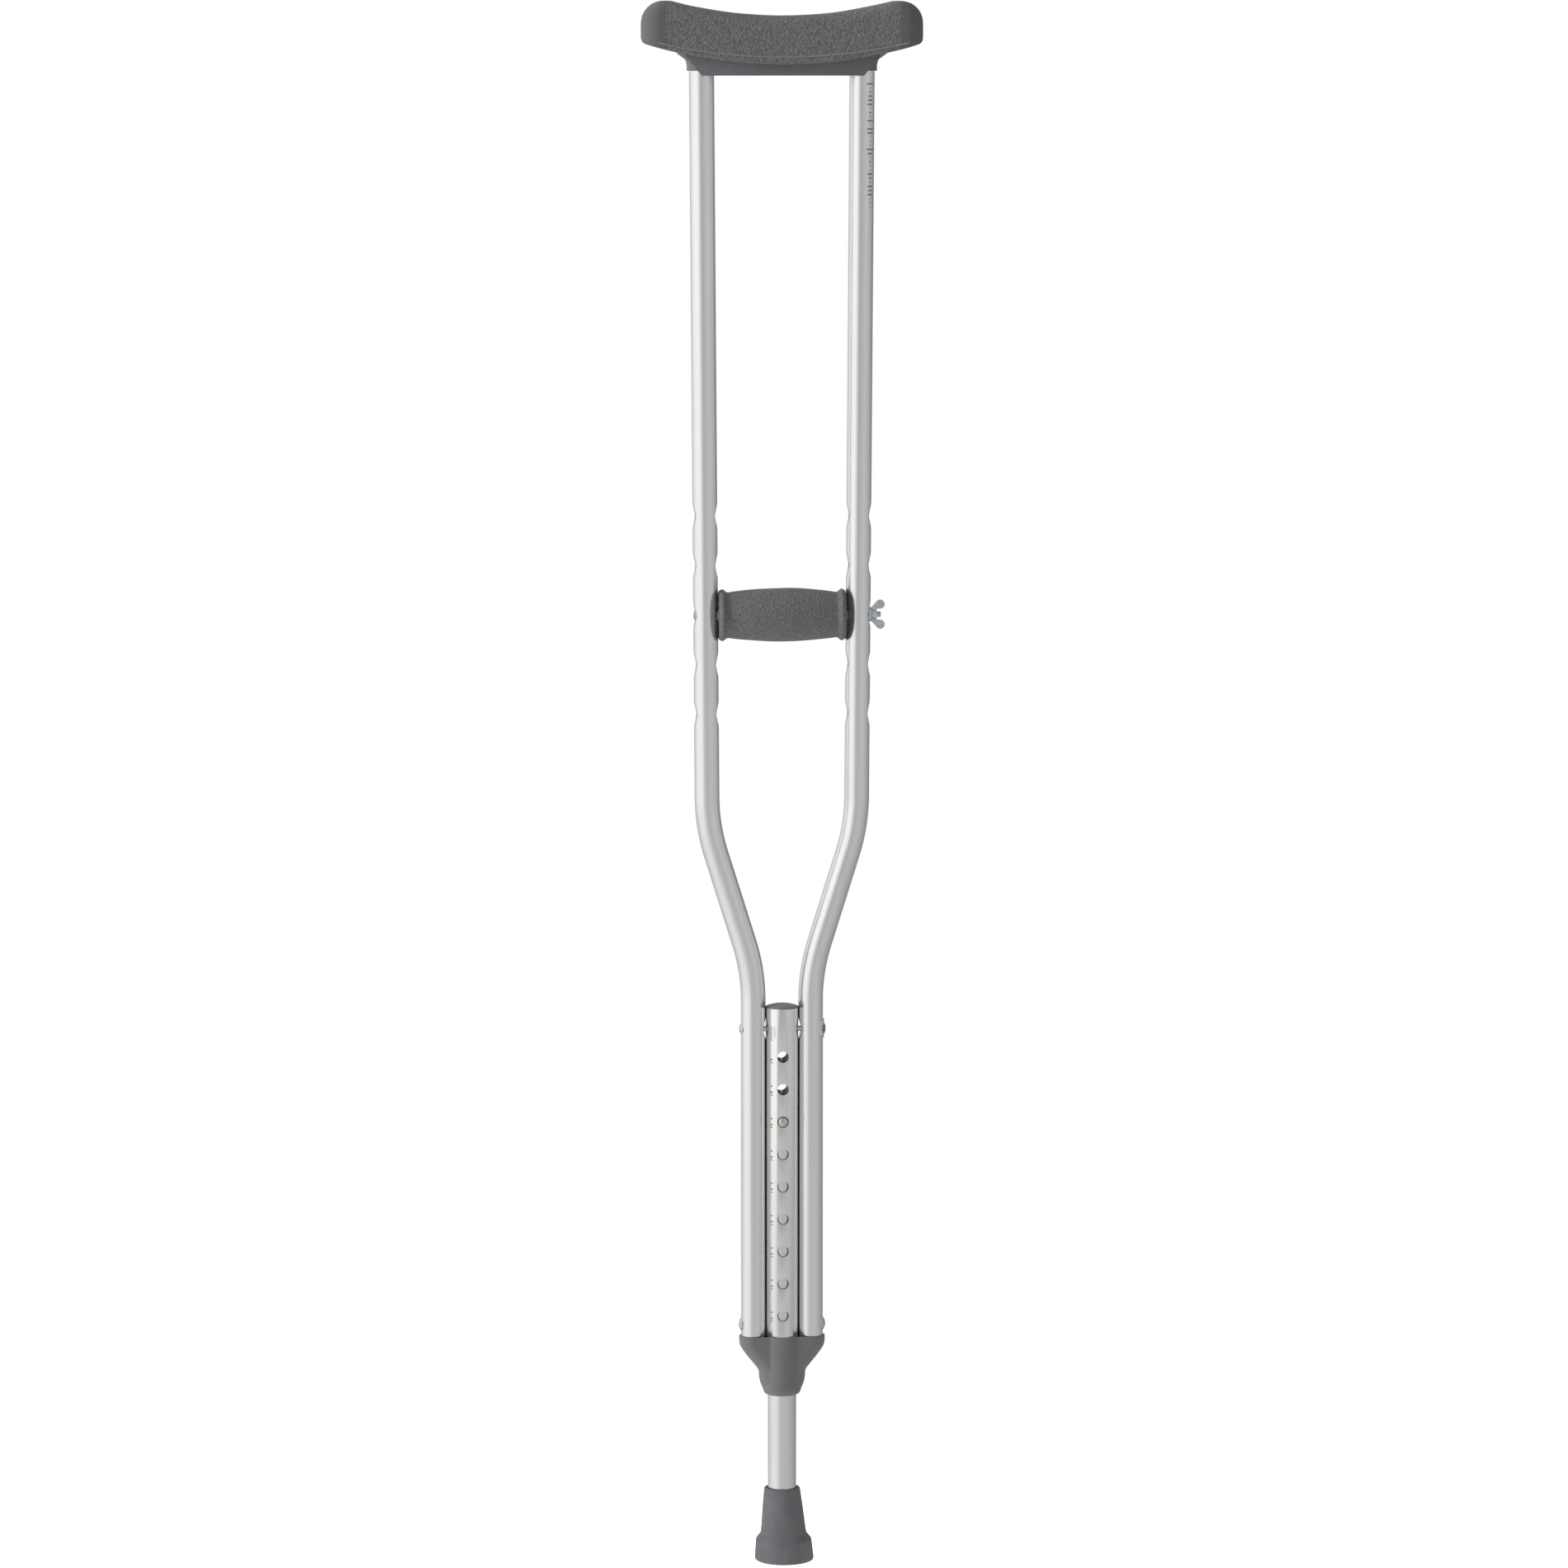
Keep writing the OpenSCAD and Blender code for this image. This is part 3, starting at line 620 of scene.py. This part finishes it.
def pad_section(x):
    """Outline of the pad across its length at x, as (y, z) from the lower middle round the front."""
    top_z, top_r, bottom_z, bottom_r = 1197, 330.0, 1160, 355.0
    end_top_r, end_low_r, end_side_r = 17.0, 4.0, 13.0
    end_z, half_depth = 1208.0, 23.6
    lip_end, lip_fade, lip_middle_h, lip_thinning, lip_half = 98, 9, 5.6, 0.42, 94
    lip_proud, bead_proud = 0.1, 0.85
    reach = abs(x)
    low = bottom_z + bottom_r - math.sqrt(bottom_r**2 - reach**2)
    high = top_z + top_r - math.sqrt(top_r**2 - reach**2)
    high = min(high, end_z)
    depth = half_depth
    past_top = reach - (PAD_HALF - end_top_r)
    if past_top > 0:
        high = end_z - end_top_r + math.sqrt(max(end_top_r**2 - past_top**2, 0))
    past_low = reach - (PAD_HALF - end_low_r)
    if past_low > 0:
        low += end_low_r - math.sqrt(max(end_low_r**2 - past_low**2, 0))
    past_side = reach - (PAD_HALF - end_side_r)
    if past_side > 0:
        depth -= end_side_r - math.sqrt(max(end_side_r**2 - past_side**2, 0))
    lip = smoothstep((lip_end - reach) / lip_fade)
    lip_h = lip_middle_h * (1 - lip_thinning * (reach / lip_half) ** 2)
    edge_r = min(12.0, (high - low) * 0.6, depth * 0.9)
    crown = 0.8
    proud, bead = lip_proud * lip, bead_proud * lip
    corners = [
        (0, low, 0),
        (depth + proud - 4, low, 0),
        (depth + proud, low, 2.2),
        (depth + proud, low + lip_h - 0.9, 0.3),
        (depth + bead, low + lip_h - 0.4, 0.4),
        (depth + bead, low + lip_h + 0.3, 0.4),
        (depth, low + lip_h + 0.9, 0.3),
        (depth, (low + high) / 2, 0),
        (depth, high - crown, edge_r),
        (depth * 0.35, high - crown * 0.1, 30),
        (0, high, 0),
    ]
    return filleted(corners, 5)


def make_pad(material):
    """The pad, lofted along its length with its rows closer together towards the ends."""
    rows, end_gap = 150, 0.02
    rings = []
    for i in range(rows + 1):
        t = -1 + 2 * i / rows
        x = PAD_HALF * math.sin(t * math.pi / 2) * 0.55 + PAD_HALF * t * 0.45
        x = max(min(x, PAD_HALF - end_gap), end_gap - PAD_HALF)
        half = pad_section(x)
        ring = [(x, -y, z) for y, z in half] + [(x, y, z) for y, z in half[-2:0:-1]]
        rings.append(ring)
    mesh = mesh_from("underarm_pad_foam", *loft(rings))
    mesh = roughened(mesh, size_mm=28, depth_mm=0.35, seed=3.1)
    piece = make_object(
        "underarm_foam", mesh, material, "frame", "underarm_pad", slot="pad_foam", sharp=60
    )


# ---------- hand grip ----------


def make_grip(material):
    """The grip's foam: a barrel with a flange at each end, turned about its bolt."""
    z = GRIP_HOLE_Z + GRIP_PITCH * GRIP_HOLE
    half, middle_r, waist_r = GRIP_HALF, 20.7, 17.4
    flange_r, end_r = 20.1, 18.9
    barrel_half = half - 7.2
    drop = middle_r - waist_r
    arc_r = (barrel_half**2 + drop**2) / (2 * drop)
    side = [
        (CORE_R + 0.1, -half, 0),
        (end_r - 0.4, -half, 1.4),
        (flange_r, -half + 2.9, 1.6),
        (waist_r + 0.2, -half + 6.1, 1.8),
    ]
    outline = filleted(side + [(waist_r, -barrel_half + 0.4, 0)], 6)
    steps = 40
    for i in range(1, steps):
        x = -barrel_half + 2 * barrel_half * i / steps
        outline.append((middle_r - arc_r + math.sqrt(arc_r**2 - x * x), x))
    outline += [(r, -h) for r, h in outline[: len(outline) - steps + 1][::-1]]
    shape = lathe(outline, 96, closed=True)
    mesh = mesh_from("hand_grip_foam", *moved(shape, Matrix.Translation((0, 0, z)) @ ALONG_X))
    mesh = roughened(mesh, size_mm=22, depth_mm=0.4, seed=7.7)
    piece = make_object(
        "grip_foam_sleeve", mesh, material, "frame", "hand_grip", slot="grip_foam", sharp=50
    )


# ---------- collar ----------

# The collar's half width in X by height, as (height, half width)
COLLAR_HALF_WIDTHS = [
    (132.0, 12.2), (133.5, 13.0), (136.0, 14.8), (139.0, 16.2), (142.5, 17.3), (146.0, 17.9),
    (151.0, 18.5), (156.0, 22.0), (162.0, 26.9), (168.0, 31.2), (172.0, 33.0), (178.5, 33.4),
]


def from_table(z, table):
    """Value at z between a table's rows, eased so that the slopes join."""
    if z <= table[0][0]:
        return table[0][1]
    for i in range(len(table) - 1):
        (z0, v0), (z1, v1) = table[i], table[i + 1]
        if z <= z1:
            before = table[max(i - 1, 0)]
            after = table[min(i + 2, len(table) - 1)]
            slope0 = (v1 - before[1]) / (z1 - before[0])
            slope1 = (after[1] - v0) / (after[0] - z0)
            t, span = (z - z0) / (z1 - z0), z1 - z0
            return (
                (2 * t**3 - 3 * t**2 + 1) * v0 + (t**3 - 2 * t**2 + t) * span * slope0
                + (3 * t**2 - 2 * t**3) * v1 + (t**3 - t**2) * span * slope1
            )
    return table[-1][1]


def stadium_reach(angle, half_width, end_r):
    """Distance from the middle to the edge of a slot shape, half_width long and end_r deep."""
    straight = half_width - end_r
    c, s = abs(math.cos(angle)), abs(math.sin(angle))
    if s > 1e-9 and end_r / s * c <= straight:
        return end_r / s
    return straight * c + math.sqrt(max(end_r**2 - (straight * s) ** 2, 0))


def collar_ring(z, inset=0.0, segments=192):
    """One row of the collar: a wing to each side, and a round lobe in the middle."""
    widest_wing_r, low_lobe_r, lobe_growth, rounding_h, blend = 11.3, 12.2, 2.8, 6, 0.2
    half = from_table(z, COLLAR_HALF_WIDTHS)
    wing_r = min(widest_wing_r, half - 0.3)
    below = max(1 - (z - COLLAR_BOTTOM_Z) / rounding_h, 0)
    lobe_r = low_lobe_r + lobe_growth * math.sqrt(max(1 - below**2, 0))
    ring = []
    for j in range(segments):
        a = math.tau * (j + 0.5) / segments
        wing = stadium_reach(a, half, wing_r)
        near = max(blend - abs(wing - lobe_r), 0) / blend
        reach = max(wing, lobe_r) + near * near * blend / 4 - inset
        ring.append((reach * math.cos(a), reach * math.sin(a), z))
    return ring


def circle_ring(radius, z, segments=192):
    ring = []
    for j in range(segments):
        a = math.tau * (j + 0.5) / segments
        ring.append((radius * math.cos(a), radius * math.sin(a), z))
    return ring


def make_collar(material):
    """The collar: its outside, a rounded rim, a shallow ledge round the tubes and the leg's bore."""
    rim_r, ledge_depth, rim_wall = 0.9, 1.6, 1.9
    rows, rim_steps = 70, 6
    ledge_z = COLLAR_TOP_Z - ledge_depth
    rings = [
        circle_ring(LEG_R + 0.2, COLLAR_BOTTOM_Z + 0.6),
        circle_ring(LEG_R + 0.5, COLLAR_BOTTOM_Z),
    ]
    for i in range(rows + 1):
        z = COLLAR_BOTTOM_Z + (COLLAR_TOP_Z - rim_r - COLLAR_BOTTOM_Z) * i / rows
        rings.append(collar_ring(z))
    for i in range(1, rim_steps + 1):
        a = math.pi / 2 * i / rim_steps
        z = COLLAR_TOP_Z - rim_r + rim_r * math.sin(a)
        rim = collar_ring(COLLAR_TOP_Z, rim_r * (1 - math.cos(a)))
        rings.append([(x, y, z) for x, y, _ in rim])
    rings.append(collar_ring(COLLAR_TOP_Z, rim_wall))
    ledge = collar_ring(COLLAR_TOP_Z, rim_wall + 0.2)
    rings.append([(x, y, ledge_z) for x, y, _ in ledge])
    rings.append(circle_ring(CENTER_R - 0.4, ledge_z))
    rings.append(circle_ring(CENTER_R - 0.4, CENTER_BOTTOM_Z))
    rings.append(circle_ring(LEG_R + 0.2, CENTER_BOTTOM_Z - 0.5))
    mesh = mesh_from("collar", *loft(rings, closed=True))
    make_object(
        "collar_moulding", mesh, material, "frame", "lower_collar", slot="collar_plastic", sharp=45
    )


# ---------- tip ----------


def make_tip(material):
    """The rubber boot. Its foot has crept a little towards the wing nut's side, as on a used tip."""
    groove_depth, groove_half, groove_count, ridge_w = 1.6, 1.0, 4, 2.25
    first_groove_r, groove_pitch, bore_floor, lean = 5.0, 4.5, 12.5, 0.031
    corners = [(0.0, groove_depth, 0)]
    for i in range(groove_count):
        middle = first_groove_r + groove_pitch * i
        if i > 0:
            ridge_r = middle - groove_half - ridge_w
            corners += [(ridge_r, 0.0, 0.2), (ridge_r, groove_depth, 0.2)]
        corners += [(middle - groove_half, groove_depth, 0.2), (middle - groove_half, 0.0, 0.2)]
    corners += [
        (TIP_R, 0.0, 1.8),
        (TIP_R - 1.5, TIP_H - 40.9, 4.2),
        (TIP_R - 5.2, TIP_H - 36.4, 2.6),
        (TIP_R - 6.0, TIP_H - 31, 12),
        (TIP_R - 7.4, TIP_H - 16, 30),
        (TIP_R - 9.3, TIP_H, 1.6),
        (LEG_R + 0.9, TIP_H, 0.8),
        (LEG_R + 0.15, TIP_H - 1.6, 0.6),
        (LEG_R + 0.05, bore_floor, 0),
        (0.0, bore_floor, 0),
    ]
    points, faces = lathe(filleted(corners, 6), 128)
    leaning = []
    for x, y, z in points:
        share = smoothstep((math.hypot(x, y) - LEG_R - 0.3) / 2)
        leaning.append((x + share * lean * (TIP_H - z), y, z))
    mesh = roughened(mesh_from("tip", leaning, faces), size_mm=30, depth_mm=0.12, seed=1.7)
    make_object("tip_rubber_boot", mesh, material, "leg", "crutch_tip", slot="tip_rubber", sharp=50)


# ---------- centre tube, cap and saddle ----------


def softened(node, width_mm, segments=3, limit=28.0):
    """A copy of a CAD node's mesh with its sharp edges rounded."""
    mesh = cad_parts[node].data.copy()
    work = bmesh.new()
    work.from_mesh(mesh)
    bmesh.ops.remove_doubles(work, verts=work.verts, dist=2e-6)
    bmesh.ops.dissolve_limit(
        work, angle_limit=math.radians(0.6), verts=work.verts, edges=work.edges
    )
    work.to_mesh(mesh)
    work.free()
    return evaluated(
        mesh,
        (
            "BEVEL",
            {
                "width": width_mm * MM,
                "segments": segments,
                "limit_method": "ANGLE",
                "angle_limit": math.radians(limit),
                "use_clamp_overlap": True,
            },
        ),
    )


def make_center_tube(material, painted_shade_material):
    """The hole tube. Its punched edges are rounded, and painted shade darkens all but their tops."""
    edge, dark_up_to = 0.45, HOLE_R * 0.62
    mesh = softened("center_tube", edge, segments=3, limit=60)
    make_object("hole_tube", mesh, material, "frame", "center_tube", slot="satin_aluminium")
    mesh.materials.append(painted_shade_material)
    # Painted shade: the faces round each hole, all but its top, get the near-black material.
    for face in mesh.polygons:
        x, y, z = face.center / MM
        step = round((TOP_HOLE_Z - z) / HOLE_PITCH)
        above = z - TOP_HOLE_Z + step * HOLE_PITCH
        near = math.hypot(x, above) < HOLE_R + edge
        if near and 0 <= step < HOLE_COUNT and abs(y) > 1 and above < dark_up_to:
            face.material_index = 1


def make_cap(material):
    """The centre tube's cap: a thin rim and a low dome over it."""
    rim_t, dome_h, plug_len, steps = 0.9, 2.4, 9, 10
    plug_r = CENTER_R - 1.5
    ball_r = (CENTER_R**2 + dome_h**2) / (2 * dome_h)
    top = CENTER_TOP_Z + rim_t + dome_h
    outline = [
        (0.0, CENTER_TOP_Z - plug_len), (plug_r, CENTER_TOP_Z - plug_len),
        (plug_r, CENTER_TOP_Z), (CENTER_R - 0.2, CENTER_TOP_Z + 0.01),
        (CENTER_R, CENTER_TOP_Z + 0.2), (CENTER_R, CENTER_TOP_Z + rim_t - 0.2),
    ]
    for i in range(steps + 1):
        r = (CENTER_R - 0.25) * (1 - i / steps)
        outline.append((r, top - ball_r + math.sqrt(ball_r**2 - r * r)))
    mesh = mesh_from("cap", *lathe(outline, 96))
    make_object(
        "tube_cap_dome", mesh, material, "frame", "center_tube_cap", slot="cap_plastic", sharp=40
    )


def make_saddle(material):
    """The saddle, with a flare where each socket meets the pad."""
    base = softened("underarm_saddle", 0.7)
    top_z, socket_r, bore_r, flare_w, flare_h = 1168.5, 11.7, UPRIGHT_R + 0.3, 7.5, 8
    narrowed = Matrix.Diagonal((1, 0.72, 1, 1))
    corners = [
        (bore_r, top_z - flare_h, 0),
        (socket_r - 0.1, top_z - flare_h, 0),
        (socket_r + 0.3, top_z - 5, 8),
        (socket_r + flare_w, top_z, 0),
        (bore_r, top_z, 0),
    ]
    outline = filleted(corners, 8)
    for side in (-1, 1):
        place = Matrix.Translation((side * upright_x(top_z), 0, 0)) @ narrowed
        flare = mesh_from("flare", *moved(lathe(outline, 96, closed=True), place))
        work = bmesh.new()
        work.from_mesh(base)
        work.from_mesh(flare)
        work.to_mesh(base)
        work.free()
    make_object(
        "saddle_moulding", base, material, "frame", "underarm_saddle", slot="saddle_plastic"
    )


# ---------- light, floor and camera ----------

# Gray level of the studio around the crutch, as (azimuth, level). Azimuth 0 is the camera's side and
# minus is left. One wide bright panel stands at the left and a weaker one at the right. The first
# list is at eye level and the second, softer one is for rays that go down to the floor.
STUDIO_LEVEL = [
    (-180, 0.35), (-120, 0.85), (-95, 1.05), (-45, 1.1), (-15, 0.4), (5, 0.45),
    (45, 0.6), (90, 0.45), (140, 0.2), (180, 0.35),
]
STUDIO_LOW = [(-180, 0.35), (-85, 0.85), (-60, 0.85), (-15, 0.6), (45, 0.5), (130, 0.3), (180, 0.35)]


def studio_ramp(tree, azimuth, stops):
    """Gray level by azimuth, which runs from 0 to 1 once round."""
    ramp = tree.nodes.new("ShaderNodeValToRGB")
    elements = ramp.color_ramp.elements
    while len(elements) > 1:
        elements.remove(elements[-1])
    for i, (angle, level) in enumerate(stops):
        position = (angle + 180) / 360
        element = elements[0] if i == 0 else elements.new(position)
        element.position = position
        element.color = (*gray(level), 1)
    tree.links.new(azimuth, ramp.inputs["Fac"])
    return ramp.outputs["Color"]


def make_world():
    """Studio light by direction, for gloss. Matt surfaces are lit by an even gray all round.

    The camera itself sees plain white behind the crutch.
    """
    world = bpy.data.worlds.new("studio")
    bpy.context.scene.world = world
    world.use_nodes = True
    tree = world.node_tree
    tree.nodes.clear()
    links = tree.links
    place = tree.nodes.new("ShaderNodeTexCoord")
    split = tree.nodes.new("ShaderNodeSeparateXYZ")
    links.new(place.outputs["Generated"], split.inputs["Vector"])
    towards_camera = multiplied(tree, split.outputs["Y"], -1)
    turn = math_node(tree, "ARCTAN2", split.outputs["X"], towards_camera)
    azimuth = ranged(tree, turn, 0, 1, -math.pi, math.pi)
    low, level = math.sin(math.radians(-15)), math.sin(math.radians(-2))
    share = ranged(tree, split.outputs["Z"], 0, 1, low, level)
    blend = tree.nodes.new("ShaderNodeMix")
    blend.data_type = "RGBA"
    links.new(share, blend.inputs["Factor"])
    links.new(studio_ramp(tree, azimuth, STUDIO_LOW), blend.inputs["A"])
    links.new(studio_ramp(tree, azimuth, STUDIO_LEVEL), blend.inputs["B"])
    around = tree.nodes.new("ShaderNodeBackground")
    links.new(blend.outputs["Result"], around.inputs["Color"])
    behind = tree.nodes.new("ShaderNodeBackground")
    behind.inputs["Color"].default_value = (1, 1, 1, 1)
    dim = tree.nodes.new("ShaderNodeBackground")
    dim.inputs["Color"].default_value = (*gray(0.56), 1)
    ray = tree.nodes.new("ShaderNodeLightPath")
    soft = tree.nodes.new("ShaderNodeMixShader")
    mix = tree.nodes.new("ShaderNodeMixShader")
    output = tree.nodes.new("ShaderNodeOutputWorld")
    links.new(ray.outputs["Is Diffuse Ray"], soft.inputs["Fac"])
    links.new(around.outputs["Background"], soft.inputs[1])
    links.new(dim.outputs["Background"], soft.inputs[2])
    links.new(ray.outputs["Is Camera Ray"], mix.inputs["Fac"])
    links.new(soft.outputs["Shader"], mix.inputs[1])
    links.new(behind.outputs["Background"], mix.inputs[2])
    links.new(mix.outputs["Shader"], output.inputs["Surface"])


def make_floor():
    """A pale disc that fades out before its rim, at the tip's lowest reach with the leg fully out."""
    radius, segments, rings = 1.6, 96, 8
    fade_from, fade_to = 0.25, 1.4
    mesh = bpy.data.meshes.new("floor")
    points, faces = [(0, 0, 0)], []
    for i in range(1, rings + 1):
        for j in range(segments):
            a, r = math.tau * j / segments, radius * i / rings
            points.append((r * math.cos(a), r * math.sin(a), 0))
    for j in range(segments):
        k = (j + 1) % segments
        faces.append((0, 1 + j, 1 + k))
        for i in range(rings - 1):
            a, b = 1 + i * segments, 1 + (i + 1) * segments
            faces.append((a + j, b + j, b + k, a + k))
    mesh.from_pydata(points, [], faces)
    material, tree, shader = new_material("floor_paper", gray(0.9), 0.0, 0.9)
    shader.inputs["Emission Color"].default_value = (1, 1, 1, 1)
    shader.inputs["Emission Strength"].default_value = 0.8
    place = tree.nodes.new("ShaderNodeTexCoord")
    distance = tree.nodes.new("ShaderNodeVectorMath")
    distance.operation = "LENGTH"
    tree.links.new(place.outputs["Object"], distance.inputs[0])
    fade = ranged(tree, distance.outputs["Value"], 1, 0, fade_from, fade_to)
    tree.links.new(fade, shader.inputs["Alpha"])
    mesh.materials.append(material)
    floor = bpy.data.objects.new("floor", mesh)
    bpy.context.scene.collection.objects.link(floor)
    floor.location = (0, 0, -LEG_TRAVEL * MM)
    floor.visible_glossy = False


def make_light(name, azimuth, elevation, distance, size, power):
    """A soft panel aimed at the crutch's middle. Glossy surfaces don't mirror it.

    Azimuth 0 is the camera's side and minus is left.
    """
    aim = Vector((0, 0, 0.7))
    data = bpy.data.lights.new(name, "AREA")
    data.shape = "RECTANGLE"
    data.size, data.size_y = size
    data.energy = power
    lamp = bpy.data.objects.new(name, data)
    bpy.context.scene.collection.objects.link(lamp)
    a, e = math.radians(azimuth), math.radians(elevation)
    away = Vector((math.sin(a) * math.cos(e), -math.cos(a) * math.cos(e), math.sin(e)))
    lamp.location = aim + away * distance
    lamp.rotation_mode = "QUATERNION"
    lamp.rotation_quaternion = away.to_track_quat("Z", "Y")
    lamp.visible_glossy = False


def make_camera():
    """The camera, which looks at the crutch from a few degrees left of its front."""
    data = bpy.data.cameras.new("camera")
    data.lens = LENS_MM
    data.sensor_width = SENSOR_MM
    camera = bpy.data.objects.new("camera", data)
    bpy.context.scene.collection.objects.link(camera)
    a = math.radians(CAMERA_AZIMUTH)
    x, y = CAMERA_DISTANCE * math.sin(a), -CAMERA_DISTANCE * math.cos(a)
    camera.location = (x, y, CAMERA_HEIGHT)
    a, e = math.radians(AIM_AZIMUTH), math.radians(CAMERA_PITCH)
    back = Vector((math.sin(a) * math.cos(e), -math.cos(a) * math.cos(e), math.sin(e)))
    camera.rotation_mode = "QUATERNION"
    camera.rotation_quaternion = back.to_track_quat("Z", "Y")
    data.clip_start, data.clip_end = 0.1, 50
    bpy.context.scene.camera = camera


# ---------- the scene ----------

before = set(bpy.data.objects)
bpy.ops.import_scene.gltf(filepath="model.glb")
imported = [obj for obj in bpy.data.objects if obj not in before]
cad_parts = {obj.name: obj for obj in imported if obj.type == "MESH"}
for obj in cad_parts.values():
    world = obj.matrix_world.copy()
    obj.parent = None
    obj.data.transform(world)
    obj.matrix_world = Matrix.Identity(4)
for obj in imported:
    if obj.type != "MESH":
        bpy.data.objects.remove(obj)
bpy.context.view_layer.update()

bpy.context.scene.view_settings.view_transform = "Standard"
make_camera()
make_world()
make_floor()
make_light("left_panel", azimuth=-75, elevation=18, distance=3.0, size=(1.2, 2.0), power=105)
make_light("top_panel", azimuth=10, elevation=78, distance=2.6, size=(1.4, 1.4), power=5)
make_light("rear_panel", azimuth=168, elevation=25, distance=3.0, size=(1.6, 1.6), power=60)

aluminium = aluminium_material("satin_aluminium", 0.86, 0.24)
marked_aluminium = aluminium_material(
    "marked_aluminium", 0.86, 0.24, printed_height_ticks, (0.2, 0.16, 0.13)
)
labelled_aluminium = aluminium_material("labelled_aluminium", 0.86, 0.24, printed_plain_lines)
# Painted shade: near-black metal for the hole edges, which on the real tube only lie in shade.
painted_shade_edge = metal_material(
    "punched_edge_painted_shade", gray(0.07), gray(0.2), 0.45, grain=900, grain_depth=0.02
)
leg_aluminium = aluminium_material("leg_aluminium", 0.84, 0.3)
steel = metal_material(
    "rivet_steel", gray(0.6, (1, 1, 0.98)), gray(0.76), 0.28, grain=900, grain_depth=0.03
)
washer_metal = metal_material(
    "washer_steel", gray(0.72), gray(0.85), 0.5, grain=900, grain_depth=0.03
)
bolt_metal = metal_material(
    "bolt_steel", gray(0.48), gray(0.58), 0.3, grain=900, grain_depth=0.02
)
zinc = metal_material(
    "zinc_plate", (0.54, 0.6, 0.64), (0.66, 0.71, 0.74), 0.36, grain=600, grain_depth=0.08
)
spring_metal = metal_material(
    "spring_steel", gray(0.5), gray(0.62), 0.3, grain=900, grain_depth=0.02
)
button_metal = button_material()
collar_gray = plastic_material(
    "collar_plastic", gray(0.1, (0.97, 1, 1.03)), gray(0.115, (0.97, 1, 1.03)), 0.4
)
saddle_gray = plastic_material(
    "saddle_plastic", gray(0.105, (0.96, 0.99, 1.06)), gray(0.12, (0.96, 0.99, 1.06)), 0.36
)
cap_gray = plastic_material("cap_plastic", (0.12, 0.118, 0.109), (0.136, 0.133, 0.123), 0.5)
core_gray = plastic_material("core_plastic", gray(0.12), gray(0.14), 0.45)
pad_foam = foam_material(
    "pad_foam", gray(0.092, (1, 1, 0.975)), gray(0.155, (1, 1, 0.98)), 0.087, 0.096
)
grip_foam = foam_material("grip_foam", gray(0.092, (1, 1.01, 0.96)), gray(0.132, (1, 1.01, 0.97)))
tip_rubber = rubber_material()

make_uprights(aluminium, labelled_aluminium)
make_center_tube(marked_aluminium, painted_shade_edge)
make_pad(pad_foam)
make_grip(grip_foam)
make_collar(collar_gray)
make_tip(tip_rubber)
make_saddle(saddle_gray)
make_cap(cap_gray)

CAD_FINISHES = {
    "leg_tube": leg_aluminium,
    "upper_frame_rivet": steel,
    "upper_rivet_washer": washer_metal,
    "lower_left_rivet": steel,
    "lower_right_rivet": steel,
    "tip_washer": steel,
    "grip_core": core_gray,
    "grip_bolt": bolt_metal,
    "grip_washer": zinc,
    "wing_nut": zinc,
    "snap_spring": spring_metal,
    "front_button": button_metal,
    "rear_button": button_metal,
}
for node, finish in CAD_FINISHES.items():
    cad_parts[node].data.materials.clear()
    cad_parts[node].data.materials.append(finish)
